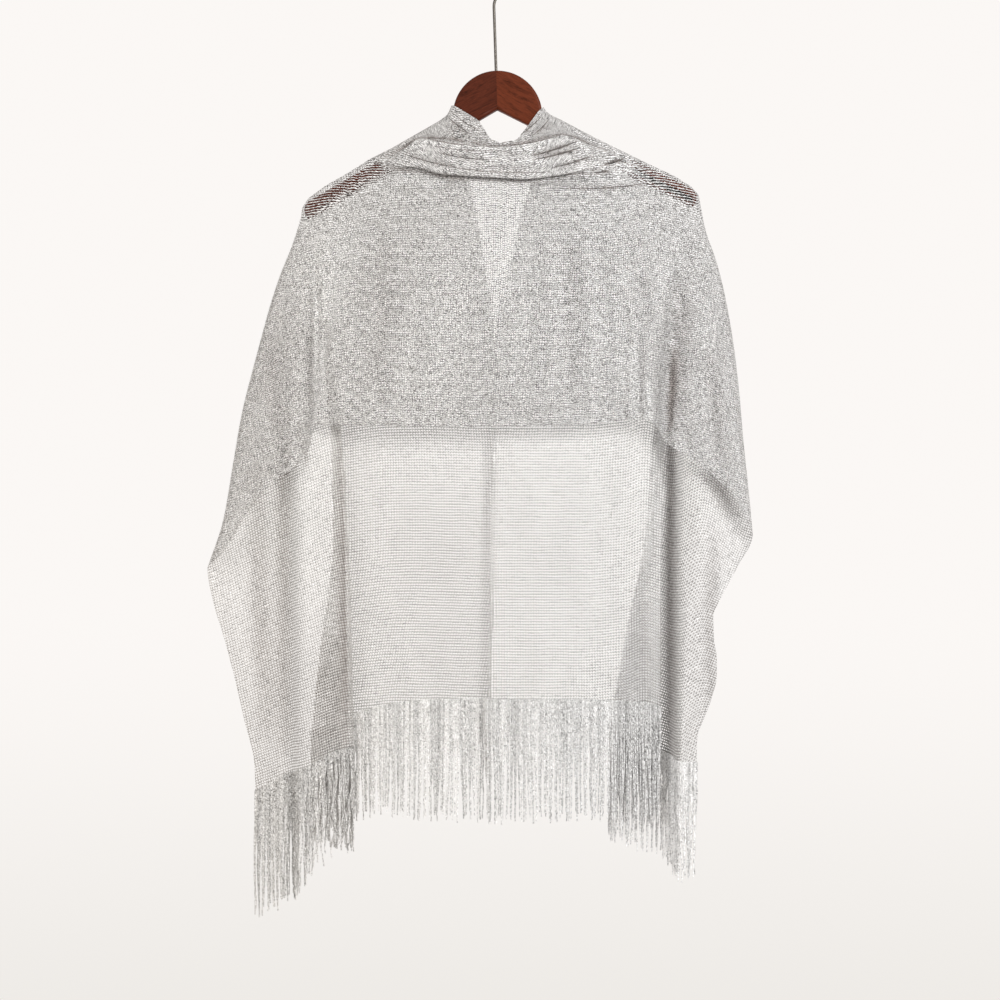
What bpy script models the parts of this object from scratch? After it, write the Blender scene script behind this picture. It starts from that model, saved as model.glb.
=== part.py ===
"""Fringed evening stole draped over a flat wooden hanger, in millimetres.

The stole is one length of openwork knit. Its middle is the near (back) stretch,
its two ends go over the hanger's arms and hang on the far side, and a knotted
fringe hangs from both ends. X runs along the hanger, Y away from the side that
shows the back, Z up. The origin is the inside top of the hook.
"""

from collections import namedtuple
from math import cos, pi, radians, sin, sqrt

import bmesh
import bpy
import numpy as np
from mathutils import Matrix, Vector

MM = 0.001
SHARP_EDGE = radians(40)

# Cloth
WALL = 1.2  # thickness of the knit as a solid
SEAM = 0.3  # gap between neighbouring stretches
LAYER = 3.4  # from one ply of the collar roll to the next
LAY = 7.5  # how far the cloth's middle lies from the hanger's mid-plane
SWING_HIGH = 7.0  # how far the near stretch swings out just below the arms
SWING_LOW = 8.0  # and how much more it swings out by its lower edge
ARM_R = 8.0  # round of the cloth over the arms
RIM_R = 9.0  # round of the cloth where it turns to the far side
NECK_R = 5.0  # round of the cloth's edge beside the neck
STEP_W = 7.0  # half width of the slope that stands where an end has no pleat yet

# Fringe
STRANDS = 92  # on each end
STRAND_W, STRAND_T = 2.0, 1.7  # at the root
BACKING_H = 5.0

# Hanger
SPAN = 432.0
ARM_SLOPE = radians(28.4)
ARM_DEPTH = 20.5  # measured straight down
WOOD_T = 12.0
WOOD_ROUND = 3.0
HEAD_R = 50.0
HEAD_Z = -179.8
NOTCH_Z = -173.5
HEAD_ARC = radians(86)  # from the head's top to where it meets the arm
HEAD_CORNER = 1.5  # that corner lies this far beyond the head
CORNER_RUN = 9.0  # and is eased over this length of the arm
TIP_R = 13.0  # round of the arm's upper end
HEEL_R = 4.0  # round of its lower end
TILT = radians(1.9)  # how far the hanger leans on its hook

# Hook
WIRE_R = 1.6
HOOK_R = 20.0  # inside
BORE_R = WIRE_R + 0.35
SHANK_END = -152.0
SHANK_TOP = -HOOK_R - (HOOK_R + WIRE_R) - 16  # where the shank starts to bend
BEND_RISE, BEND_LEAD = 7.0, 12.0  # how long the bend keeps to its two ends' ways
BEND_END = radians(-52)  # where on the hook's round the bend ends
HOOK_TURN = radians(252)  # and how far the wire goes round from there
BORE_SPARE = 0.5  # the bore goes this much deeper than the shank

# ---------------------------------------------------------------- tables

Point = namedtuple("Point", "x z")

# Where the left and right outlines of the cloth run, from the arm's tip down.
LEFT_OUTLINE = (
    Point(-214, -292), Point(-222, -319), Point(-241, -368), Point(-252, -405),
    Point(-268, -466), Point(-281, -519), Point(-286, -548), Point(-309, -667),
    Point(-318, -687), Point(-312, -722), Point(-299, -765), Point(-286, -814),
    Point(-277, -853), Point(-265, -907), Point(-264, -936),
)
RIGHT_OUTLINE = (
    Point(233, -278), Point(239, -308), Point(251, -343), Point(261, -384),
    Point(269, -430), Point(275, -479), Point(281, -547), Point(283, -567),
    Point(289, -626), Point(291, -650), Point(275, -683), Point(253, -725),
    Point(247, -739), Point(248, -767), Point(251, -786), Point(251, -806),
    Point(245, -832), Point(238, -851), Point(229, -877), Point(228, -922),
)
# The cloth's top edge, from the left arm's tip over the neck to the right tip.
TOP = (
    Point(-214, -292), Point(-213, -283), Point(-206, -272), Point(-187, -258),
    Point(-159, -242), Point(-139, -229), Point(-113, -216), Point(-79, -196.5),
    Point(-58, -184.5), Point(-50, -178), Point(-45.5, -168), Point(-38, -172),
    Point(-15, -186), Point(-2, -207), Point(9, -211), Point(27, -208),
    Point(39, -193), Point(50, -178), Point(57.5, -170), Point(61, -175.5),
    Point(66, -179), Point(76, -183.5), Point(108, -200.5), Point(133, -213),
    Point(177, -234.5), Point(204, -247), Point(223, -259), Point(231, -268),
    Point(233, -278),
)
NECK_LEFT, NECK_RIGHT = -45.5, 57.5
TIP_LEFT, TIP_RIGHT = -214.0, 233.0
LEFT_CORNER, RIGHT_CORNER = -687.0, -650.0  # where the near lower edge meets the rims

# The lower edge of the near stretch, by the column's place on the arms.
Hem = namedtuple("Hem", "column z")
HEM = (
    Hem(-214, -687), Hem(-206, -669), Hem(-195, -629), Hem(-178, -593),
    Hem(-156, -570), Hem(-149, -556), Hem(-145, -527), Hem(-60, -528),
    Hem(9, -529), Hem(90, -527), Hem(143, -520), Hem(153, -525),
    Hem(166, -548), Hem(174, -556), Hem(194, -573), Hem(207, -588),
    Hem(216, -599), Hem(220, -611), Hem(233, -650),
)

# The collar roll: its two fold lines and how much of the double fold is there.
Roll = namedtuple("Roll", "column top bottom fold bulge")
ROLL = (
    Roll(-150, -252, -262, 0, 0), Roll(-128, -231, -243, 0, 0.2),
    Roll(-105, -220, -239, 0, 0.6), Roll(-79, -208, -242, 0.25, 1),
    Roll(-58, -208, -248, 0.8, 1), Roll(-36, -211, -250, 1, 1),
    Roll(2, -217, -252, 1, 1), Roll(36, -213, -254, 1, 1),
    Roll(58, -208, -252, 0.8, 1), Roll(78, -204, -249, 0.25, 1),
    Roll(96, -208, -246, 0, 0.9), Roll(110, -214, -244, 0, 0.6),
    Roll(144, -228, -243, 0, 0.15), Roll(165, -250, -262, 0, 0),
)
FIRST_PLEAT = 30.0  # overlap of the two inner plies
SECOND_PLEAT = 28.0  # overlap of the two outer plies

# Each end of the stole at a level: where the free edge, the hidden turn, the
# visible fold, the ridge, the hollow and their depths are.
Level = namedtuple(
    "Level",
    "z edge turn fold ridge hollow flat_y mid_y side_y ridge_y hollow_y end_y rim_y "
    "folded",
)
LEFT_LEVELS = (
    Level(-168, -45, -190, -190, -200, -206, 7.5, 7.5, 7.5, 7.5, 7.5, 7.5, 0, 0),
    Level(-218, -34, -190, -190, -200, -206, 7.5, 7.5, 7.5, 7.5, 7.5, 7.5, 0, 0),
    Level(-257, -25, -192, -192, -200, -206, 9, 9, 9, 9, 8, 7.5, 0, 0),
    Level(-290, -18, -188, -188, -200, -207, 13, 11, 9, 8.5, 8, 7.5, 0, 0.6),
    Level(-318, -13, -194, -194, -206, -210, 16, 12.5, 9, 8.5, 8, 7, -1, 1),
    Level(-345, -9, -201, -194, -209, -221, 19, 14.5, 10, 7, 8, 6, -1, 1),
    Level(-408, 4, -196, -185, -211, -234, 21, 15.5, 9, 2, 9, 4, -2, 1),
    Level(-520, 6, -184, -172, -207, -240, 23, 16, 7, -4, 10, 4, -4, 1),
    Level(-543, 6, -182, -169, -207, -240, 23, 16, 6, -7, 10, 4, -4, 1),
    Level(-660, 7, -180, -162, -206, -238, 23, 16, 3, -13, 10, 3, -5, 1),
    Level(-720, 8, -186, -159, -206, -237, 23, 15.5, 2, -16, 9, -2, -7, 1),
    Level(-767, 9, -193, -158, -205, -236, 23, 15, 2, -17, 8, -5, -8, 1),
    Level(-879, 13, -204, -156, -205, -232, 23, 14, 1, -18, 6, -7, -10, 1),
    Level(-940, 14, -206, -155, -205, -232, 23, 14, 1, -18, 6, -7, -10, 1),
)
RIGHT_LEVELS = (
    Level(-170, 57, 205, 205, 214, 221, 7.5, 7.5, 7.5, 7.5, 7.5, 7.5, 0, 0),
    Level(-218, 49, 205, 205, 214, 221, 7.5, 7.5, 7.5, 7.5, 7.5, 7.5, 0, 0),
    Level(-257, 42, 208, 208, 216, 222, 7.5, 8, 9, 9, 8, 7.5, 0, 0),
    Level(-290, 33, 206, 206, 219, 226, 9, 12, 14, 13, 11, 8, 0, 0.6),
    Level(-318, 26, 209, 209, 222, 228, 9, 13, 17, 16, 13, 9, -1, 1),
    Level(-345, 20, 211, 204, 219, 234, 9, 14, 20, 20, 12, 8, -1, 1),
    Level(-408, 5, 205, 195, 211, 236, 9, 15, 23, 24, 6, 6, -2, 1),
    Level(-520, 3, 196, 184, 205, 229, 9, 16, 26, 28, 0, 4, -4, 1),
    Level(-556, 3, 193, 180, 202, 225, 9, 16, 27, 30, -4, 3, -4, 1),
    Level(-640, 2, 191, 174, 198, 221, 9, 16, 28, 32, -9, 2, -5, 1),
    Level(-690, 1, 190, 166, 196, 218, 9, 16, 29, 33, -12, -4, -5, 1),
    Level(-767, -1, 190, 150, 196, 216, 9, 16, 29, 33, -13, -7, -5, 1),
    Level(-901, -6, 189, 132, 195, 209, 9, 16, 28, 31, -14, -8, -6, 1),
    Level(-940, -6, 189, 132, 195, 211, 9, 16, 28, 31, -14, -8, -6, 1),
)

# Lower edge of each end and the fringe's length, by share of the section.
Root = namedtuple("Root", "share z length")
LEFT_ROOTS = (
    Root(0.00, -834, 138), Root(0.20, -836, 134), Root(0.36, -847, 120),
    Root(0.50, -868, 120), Root(0.62, -884, 118), Root(0.72, -892, 84),
    Root(0.80, -908, 130), Root(0.90, -919, 145), Root(1.00, -934, 140),
)
RIGHT_ROOTS = (
    Root(0.00, -834, 138), Root(0.25, -834, 134), Root(0.45, -838, 130),
    Root(0.60, -862, 122), Root(0.78, -892, 116), Root(0.90, -900, 128),
    Root(1.00, -903, 124),
)

# Soft pleats of the near stretch: centre at the arm and at the hem, half width,
# and how far it stands out (towards the viewer) at the hem.
Pleat = namedtuple("Pleat", "top_x hem_x width rise")
NEAR_PLEATS = (
    Pleat(-192, -191, 11, 8), Pleat(-209, -210, 11, -7), Pleat(-150, -152, 16, -3),
    Pleat(-96, -104, 22, 3), Pleat(-20, -30, 30, -3), Pleat(60, 62, 26, 3),
    Pleat(120, 128, 18, -3), Pleat(190, 168, 13, 7), Pleat(212, 190, 12, -8),
)

# ---------------------------------------------------------------- curves


def ease(a, b, x):
    """0 below a, 1 above b, smooth between."""
    t = min(1.0, max(0.0, (x - a) / (b - a)))
    return t * t * (3 - 2 * t)


def curve(xs, ys):
    """A smooth line through the points that never overshoots between two of them."""
    order = np.argsort(xs)
    xs, ys = np.array(xs, float)[order], np.array(ys, float)[order]
    run, rise = np.diff(xs), np.diff(ys)
    slope = rise / run
    tangent = np.zeros(len(xs))
    tangent[0], tangent[-1] = slope[0], slope[-1]
    for i in range(1, len(xs) - 1):
        if slope[i - 1] * slope[i] > 0:
            a, b = 2 * run[i] + run[i - 1], run[i] + 2 * run[i - 1]
            tangent[i] = (a + b) / (a / slope[i - 1] + b / slope[i])

    def at(x):
        x = min(max(x, xs[0]), xs[-1])
        i = min(int(np.searchsorted(xs, x, "right")) - 1, len(run) - 1)
        t = (x - xs[i]) / run[i]
        return (
            ys[i] * (1 + 2 * t) * (1 - t) ** 2
            + ys[i + 1] * t * t * (3 - 2 * t)
            + run[i] * t * (1 - t) * (tangent[i] * (1 - t) - tangent[i + 1] * t)
        )

    return at


def columns_of(rows, key, *names):
    """One curve for each named column of a table, against its key column."""
    keys = [getattr(row, key) for row in rows]
    return [curve(keys, [getattr(row, name) for row in rows]) for name in names]


(left_x,) = columns_of(LEFT_OUTLINE, "z", "x")
(right_x,) = columns_of(RIGHT_OUTLINE, "z", "x")
(hem_z,) = columns_of(HEM, "column", "z")
(left_rim_y,) = columns_of(LEFT_LEVELS, "z", "rim_y")
(right_rim_y,) = columns_of(RIGHT_LEVELS, "z", "rim_y")
roll_top, roll_bottom, roll_fold, roll_bulge = columns_of(
    ROLL, "column", "top", "bottom", "fold", "bulge"
)


def top_z(column):
    """Height of the cloth's top edge over a column."""
    return float(np.interp(column, [p.x for p in TOP], [p.z for p in TOP]))


def wrap(distance, radius):
    """Quarter round: 0 at the rim, 1 a radius away from it."""
    t = min(1.0, max(0.0, distance / radius))
    return sqrt(1 - (1 - t) ** 2)


# ---------------------------------------------------------------- solids


def shell(name, grid, rims):
    """A closed wall round a grid of points. rims gives, by side, the way the cloth
    runs across that rim, so that two stretches end face to face there."""
    p = np.array(grid, float)
    rows, cols = p.shape[:2]
    down = np.gradient(p, axis=0)
    along = np.gradient(p, axis=1)
    rim_lines = {"top": down[0], "start": along[:, 0], "end": along[:, -1]}
    for side, ways in rims.items():
        for k, way in enumerate(ways):
            if way is not None:
                rim_lines[side][k] = way
    normal = np.cross(down, along)
    # At a corner where both rims run the same way, the neighbours give the normal.
    for i, j, k in ((0, 0, 1), (0, cols - 1, cols - 2)):
        if np.linalg.norm(normal[i, j]) < 1e-3:
            normal[i, j] = normal[i + 1, j] / np.linalg.norm(normal[i + 1, j])
            normal[i, j] += normal[i, k] / np.linalg.norm(normal[i, k])
    normal /= np.linalg.norm(normal, axis=2, keepdims=True)
    faces_out = p + normal * WALL / 2
    faces_in = p - normal * WALL / 2
    verts = np.concatenate([faces_out.reshape(-1, 3), faces_in.reshape(-1, 3)])
    size = rows * cols
    faces = []
    for i in range(rows - 1):
        for j in range(cols - 1):
            a, b = i * cols + j, i * cols + j + 1
            c, d = a + cols, b + cols
            faces.append((a, c, d, b))
            faces.append((size + a, size + b, size + d, size + c))
    rim = list(range(cols))
    rim += [i * cols + cols - 1 for i in range(1, rows)]
    rim += [(rows - 1) * cols + j for j in range(cols - 2, -1, -1)]
    rim += [i * cols for i in range(rows - 2, 0, -1)]
    for a, b in zip(rim, rim[1:] + rim[:1]):
        faces.append((a, b, size + b, size + a))
    return solid(name, verts, faces)


def solid(name, verts, faces):
    """A mesh object from millimetres, its faces turned outward."""
    mesh = bpy.data.meshes.new(name)
    mesh.from_pydata([Vector(v) * MM for v in verts], [], faces)
    work = bmesh.new()
    work.from_mesh(mesh)
    bmesh.ops.triangulate(work, faces=work.faces[:])
    bmesh.ops.recalc_face_normals(work, faces=work.faces[:])
    if work.calc_volume(signed=True) < 0:
        bmesh.ops.reverse_faces(work, faces=work.faces[:])
    work.to_mesh(mesh)
    work.free()
    mesh.shade_smooth()
    mesh.set_sharp_from_angle(angle=SHARP_EDGE)
    obj = bpy.data.objects.new(name, mesh)
    bpy.context.scene.collection.objects.link(obj)
    return obj


def paint(obj, name, colour, roughness, metallic=0.0):
    """Give a solid its plain material."""
    material = bpy.data.materials.new(name)
    material.use_nodes = True
    bsdf = material.node_tree.nodes["Principled BSDF"]
    bsdf.inputs["Base Color"].default_value = (*colour, 1)
    bsdf.inputs["Roughness"].default_value = roughness
    bsdf.inputs["Metallic"].default_value = metallic
    obj.data.materials.append(material)


# ---------------------------------------------------------------- near stretch

NEAR_COLUMNS = (
    -214, -213.4, -212, -209.5, -206, -195, -178, -163, -156, -149, -145, -130,
    -113, -96, -79, -66, -55, -49.5, -46.6, -45.5, -44.6, -42, -38, -15, -7, 0, 9, 27,
    33, 39, 46, 53, 56.5, 57.5, 59, 62, 69, 78, 87, 97, 108, 125, 143, 153,
    166, 180, 194, 207, 216, 220, 225, 229, 231.2, 232.4, 233,
)
WRAP_STEPS = (0.0, 0.6, 2.2, 4.8, 9.0)
PANEL_STEPS = (0.06, 0.17, 0.33, 0.5, 0.67, 0.84, 1.0)
ROLL_FROM, ROLL_TO = -150, 165  # columns that the roll takes part in
NEAR_WAY, FAR_WAY = (0.0, -1.0, 0.0), (0.0, 1.0, 0.0)


def spread(column, z):
    """X of a column at a level: the cloth widens below the arms' tips."""
    share = (column - TIP_LEFT) / (TIP_RIGHT - TIP_LEFT)
    return left_x(z) * (1 - share) + right_x(z) * share


def near_depth(x, z, drop):
    """Depth of the hanging near stretch, a drop below the hanger."""
    y = -LAY - SWING_HIGH * ease(0, 110, drop) - SWING_LOW * ease(80, 320, drop)
    grown = ease(30, 260, drop)
    for pleat in NEAR_PLEATS:
        centre = pleat.top_x + (pleat.hem_x - pleat.top_x) * ease(-300, -520, z)
        near = max(0.0, 1 - ((x - centre) / pleat.width) ** 2)
        y -= pleat.rise * grown * near * near
    return y


def near_column(column):
    """Points of one column of the near stretch, from its top rim to the hem."""
    start = top_z(column)
    in_neck = NECK_LEFT < column < NECK_RIGHT
    if in_neck:
        inward = min(column - NECK_LEFT, NECK_RIGHT - column)
        first = -SEAM / 2 - (LAY - SEAM / 2) * wrap(inward, NECK_R)
    else:
        first = -SEAM / 2
    fold, bulge = roll_fold(column), roll_bulge(column)
    top, bottom = roll_top(column), roll_bottom(column)
    over, under = FIRST_PLEAT * fold, SECOND_PLEAT * fold
    r, wide = min(LAYER / 2, over / 4), min(1.5 * LAYER, over / 2)
    loose = 0.2 * (1 - min(1.0, over / 8))
    one, two = top - over, bottom + under
    folded = (
        (0.0, one + r), (0.5, one), (1.0, one + r), (1.0 + loose, top - wide),
        (1.45, top - 0.3 * wide), (2.5, top), (3.55, top - 0.3 * wide),
        (4.0, top - wide), (4.0, bottom + r), (3.5, bottom), (3.0, bottom + r),
        (3.0 - loose, two - r), (2.5, two), (2.0, two - r),
    )
    points = []
    for d in WRAP_STEPS:
        points.append((first + (-LAY - first) * wrap(d, ARM_R), start - d))
    begin = start - WRAP_STEPS[-1]
    flat_end = begin - 40
    if ROLL_FROM < column < ROLL_TO:
        flat_end = min(bottom - 6, begin - 34)
    for k, (ply, z) in enumerate(folded):
        plain = begin + (flat_end - begin) * (k + 1) / len(folded)
        points.append((-LAY - LAYER * bulge * ply, plain + (z - plain) * bulge))
    last_y, last_z = points[-1]
    for step in PANEL_STEPS:
        points.append((last_y, last_z + (hem_z(column) - last_z) * step))
    placed = []
    for k, (y, z) in enumerate(points):
        x = spread(column, z)
        if k >= len(WRAP_STEPS):
            hang = near_depth(x, z, max(0.0, begin - z))
            in_roll = k < len(WRAP_STEPS) + len(folded)
            rolled = 1.0 if in_roll else 1 - ease(0, 90, last_z - z)
            held = roll_weight(column) * rolled
            y = y * held + hang * (1 - held)
        rim = (left_rim_y(z) if column < 0 else right_rim_y(z)) - SEAM / 2
        side = min(x - left_x(z), right_x(z) - x)
        if k == 0 and not in_neck:
            y = first if side > 1 else rim
        y = rim + (y - rim) * wrap(side, RIM_R)
        placed.append((x, y, z))
    return placed


def roll_weight(column):
    """1 where the collar roll sets the depth, 0 out on the arms."""
    return min(1.0, roll_bulge(column) * 1.6)


def make_back():
    """The near stretch, from the arms and the neckline to its lower edge."""
    grid = np.array([near_column(c) for c in NEAR_COLUMNS]).transpose(1, 0, 2)
    over_arms = [None if NECK_LEFT < c < NECK_RIGHT else NEAR_WAY for c in NEAR_COLUMNS]
    rims = {"top": over_arms, "start": [NEAR_WAY] * len(grid), "end": [FAR_WAY] * len(grid)}
    return shell("back", grid, rims)


# ---------------------------------------------------------------- far stretches

FLAT_STEPS = (0.0, 0.05, 0.28, 0.55, 0.8)
TURN = [radians(a) for a in (0, 45, 90, 135, 180)]
SIDE_STEPS = 7
# Where the points of a section lie on the arm, before any pleat.
FAR_SHARES = (
    [0.0, 0.03, 0.18, 0.38, 0.60]
    + list(np.linspace(0.66, 0.84, 2 * len(TURN) + 1))
    + list(np.linspace(0.858, 0.965, SIDE_STEPS))
    + [0.98, 0.99, 0.997, 1.0]
)
# Levels of the rows; the pleat starts just below the arm's tip, so they are dense there.
FAR_ROWS = (
    -303, -311, -317, -322, -327, -332, -338, -346, -360, -385, -430, -500, -580, -660,
    -740,
)
LAST_ROWS = (0.5, 1.0)
TIP_DROP = 30.0  # drop by which a column has moved from the arm to its section
FRINGE_LEVEL = -860.0  # where an end's section is measured along for its fringe


def far_section(levels, outline, z, sign):
    """Points of one end's section at a level, from the free edge at the middle out
    to the rim. sign is -1 on the left and 1 on the right."""
    at = dict(zip(Level._fields[1:], [track(z) for track in levels]))
    rim_x = outline(z)
    turn, fold = at["turn"], at["fold"]
    ya, yb, yc = at["flat_y"], at["mid_y"], at["side_y"]
    # The flat part runs out to the turn, back to the fold, and out to the rim.
    over = sign * (turn - fold)
    ra = min(abs(yb - ya) / 2, over / 4)
    rb = min(abs(yc - yb) / 2, over / 4)
    first, second = turn - sign * ra, fold + sign * rb
    sharp = min(1.0, over / 10)
    slant = sign * STEP_W * (1 - sharp)
    flat = first - slant - at["edge"]
    pts = [(at["edge"] + flat * s, ya) for s in FLAT_STEPS]
    plies = [(first + sign * ra * sin(t), ya + (yb - ya) * (1 - cos(t)) / 2) for t in TURN]
    plies.append(((first + second) / 2, yb))
    plies += [(second - sign * rb * sin(t), yb + (yc - yb) * (1 - cos(t)) / 2) for t in TURN]
    for k, (x, y) in enumerate(plies):
        share = (k + 0.5) / len(plies)
        even = ya + (yc - ya) * share
        pts.append((x + slant * (2 * share - 1), even + (y - even) * sharp))
    steps = [0.0, 1.0, 2.0, 3.0]
    sx = curve(steps, [second + slant, at["ridge"], at["hollow"], rim_x - sign * RIM_R])
    sy = curve(steps, [yc, at["ridge_y"], at["hollow_y"], at["end_y"]])
    for k in range(1, SIDE_STEPS + 1):
        u = steps[-1] * k / SIDE_STEPS
        pts.append((sx(u), sy(u)))
    rim, end_y = at["rim_y"] + SEAM / 2, at["end_y"]
    for d in (4.8, 2.2, 0.6, 0.0):
        pts.append((rim_x - sign * d, rim + (end_y - rim) * wrap(d, RIM_R)))
    out = []
    for share, (x, y) in zip(FAR_SHARES, pts):
        plain = at["edge"] + (rim_x - at["edge"]) * share
        plain_y = rim + (ya - rim) * wrap(abs(rim_x - plain), ARM_R)
        out.append((plain + (x - plain) * at["folded"], plain_y + (y - plain_y) * at["folded"]))
    return out


def make_front(name, levels, outline, roots, sign):
    """One end, as a solid, and the grid of its points."""
    tracks = columns_of(levels, "z", *Level._fields[1:])
    (root_z,) = columns_of(roots, "share", "z")
    length = section_shares(tracks, outline, sign)
    neck, tip = (NECK_LEFT, TIP_LEFT) if sign < 0 else (NECK_RIGHT, TIP_RIGHT)
    grid = []
    for j, share in enumerate(FAR_SHARES):
        column = neck + (tip - neck) * share
        start, end = top_z(column), root_z(length[j])
        heights = [start - d for d in WRAP_STEPS]
        heights += [(heights[-1] + FAR_ROWS[0]) / 2] + list(FAR_ROWS)
        heights += [FAR_ROWS[-1] + (end - FAR_ROWS[-1]) * s for s in LAST_ROWS]
        line = []
        for i, z in enumerate(heights):
            x, y = far_section(tracks, outline, z, sign)[j]
            if i < len(WRAP_STEPS):
                x = column + (x - column) * ease(0, TIP_DROP, start - z)
                y = SEAM / 2 + (y - SEAM / 2) * wrap(start - z, ARM_R)
            line.append((x, y, z))
        grid.append(line)
    grid = np.array(grid).transpose(1, 0, 2)
    # Below the near stretch's corner the rim is the stole's own free edge.
    corner = LEFT_CORNER if sign < 0 else RIGHT_CORNER
    free = [ease(corner + 10, corner - 50, p[2]) for p in grid[:, -1]]
    crease = [(sign * k, k - 1, 0.0) for k in free]
    return shell(name, grid, {"top": [FAR_WAY] * len(FAR_SHARES), "end": crease}), grid


def section_shares(tracks, outline, sign):
    """Share of the section's length at each of its points, low on the cloth."""
    pts = np.array(far_section(tracks, outline, FRINGE_LEVEL, sign))
    steps = np.linalg.norm(np.diff(pts, axis=0), axis=1)
    return np.concatenate([[0], np.cumsum(steps)]) / steps.sum()


# ---------------------------------------------------------------- fringe


Tuft = namedtuple("Tuft", "depth size sway")
TUFTS = (Tuft(0.45, 0.8, 0.8), Tuft(1.0, 0.6, 0.3))
FRINGE_END = 1.5  # plain backing beyond the outer strands
UNEVEN = 4.0  # how much longer or shorter a strand may be


def make_fringe(name, lower_edge, roots, seed):
    """One solid: a narrow knotted backing along the cloth's lower edge with
    strands hanging from it."""
    line = np.array(lower_edge)
    line[:, 2] -= SEAM
    steps = np.linalg.norm(np.diff(line, axis=0), axis=1)
    run = np.concatenate([[0], np.cumsum(steps)])
    total = run[-1]
    (length_at,) = columns_of(roots, "share", "length")

    def place(s):
        return np.array([np.interp(s, run, line[:, k]) for k in range(3)])

    def across(s):
        way = place(min(total, s + 2)) - place(max(0, s - 2))
        side = np.array([-way[1], way[0], 0.0])
        return side / np.linalg.norm(side)

    pitch = (total - 2 * FRINGE_END) / STRANDS
    stations, is_strand = [0.0], []
    for k in range(STRANDS):
        middle = FRINGE_END + pitch * (k + 0.5)
        stations += [middle - STRAND_W / 2, middle + STRAND_W / 2]
        is_strand += [False, True]
    stations.append(total)
    is_strand.append(False)
    verts, faces = [], []
    half = STRAND_T / 2
    for s in stations:
        here, side = place(s), across(s) * half
        low = here - np.array([0, 0, BACKING_H])
        verts += [here + side, here - side, low - side, low + side]
    last = len(stations) - 1
    faces.append((0, 1, 2, 3))
    faces.append(tuple(4 * last + k for k in (3, 2, 1, 0)))
    for i, strand in enumerate(is_strand):
        a, b = 4 * i, 4 * (i + 1)
        for k in (0, 1, 2, 3):
            n = (k + 1) % 4
            if k == 2 and strand:
                continue
            faces.append((a + k, b + k, b + n, a + n))
        if not strand:
            continue
        ring = [a + 2, a + 3, b + 3, b + 2]
        base = [np.array(verts[v]) for v in ring]
        centre = sum(base) / 4
        share = (stations[i] + stations[i + 1]) / 2 / total
        wave = sin(seed + 2.3 * i) * 0.5 + sin(seed * 3 + 0.71 * i) * 0.5
        reach = length_at(share) - BACKING_H + UNEVEN * sin(seed + 5.1 * i)
        sideways = (base[2] - base[1]) / np.linalg.norm(base[2] - base[1])
        for tuft in TUFTS:
            shift = np.array([0, 0, -reach * tuft.depth]) + sideways * tuft.sway * wave
            new = [len(verts) + k for k in range(4)]
            flat = [np.array([p[0], p[1], centre[2]]) for p in base]
            verts += [centre + (p - centre) * tuft.size + shift for p in flat]
            for k in range(4):
                n = (k + 1) % 4
                faces.append((ring[k], ring[n], new[n], new[k]))
            ring = new
        faces.append(tuple(ring))
    return solid(name, verts, faces)


# ---------------------------------------------------------------- hanger


def hanger_outline():
    """Right half of the hanger's outline seen from the front, from the middle of
    the head's top clockwise to the notch under it."""
    slope = sin(ARM_SLOPE) / cos(ARM_SLOPE)
    joint = SEAM / 2
    pts = []
    for k in range(13):
        t = HEAD_ARC * k / 12
        pts.append((max(joint, HEAD_R * sin(t)), HEAD_Z + HEAD_R * cos(t)))
    # Concave corner between the head and the arm.
    top_edge = NOTCH_Z + ARM_DEPTH
    a = np.array(pts[-1])
    corner_x = HEAD_R + HEAD_CORNER
    corner = np.array([corner_x, top_edge - slope * corner_x])
    along = np.array([cos(ARM_SLOPE), -sin(ARM_SLOPE)])
    up = np.array([sin(ARM_SLOPE), cos(ARM_SLOPE)])
    b = corner + CORNER_RUN * along
    for t in (0.3, 0.55, 0.8, 1.0):
        pts.append(tuple((1 - t) ** 2 * a + 2 * t * (1 - t) * corner + t * t * b))
    # Rounded tip.
    end = SPAN / 2 - HEEL_R
    low_tip = np.array([end, NOTCH_Z - slope * end])
    thick = ARM_DEPTH * cos(ARM_SLOPE)
    back = TIP_R - HEEL_R
    centre = low_tip - along * back + up * (thick - TIP_R)
    for k in range(5):
        t = radians(90 * k / 4)
        pts.append(tuple(centre + TIP_R * (up * cos(t) + along * sin(t))))
    centre = low_tip - along * back + up * HEEL_R
    for k in range(4):
        t = radians(90 * (k + 1) / 4)
        pts.append(tuple(centre + along * (back + HEEL_R * cos(t)) - up * HEEL_R * sin(t)))
    for share in (0.7, 0.4, 0.12):
        x = joint + (low_tip[0] - joint) * share
        pts.append((x, NOTCH_Z - slope * x))
    pts.append((joint, NOTCH_Z - slope * joint))
    return pts


def inset(pts, amount):
    """The outline moved inward, its two ends on the joint staying there."""
    p = np.array(pts)
    out = []
    for i in range(len(p)):
        before, after = p[max(i - 1, 0)], p[min(i + 1, len(p) - 1)]
        way = after - before
        inward = np.array([way[1], -way[0]]) / np.linalg.norm(way)
        moved = p[i] + inward * amount
        if i in (0, len(p) - 1):
            moved = np.array([p[i][0], p[i][1] + (-amount if i == 0 else amount)])
        out.append(moved)
    return out


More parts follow.
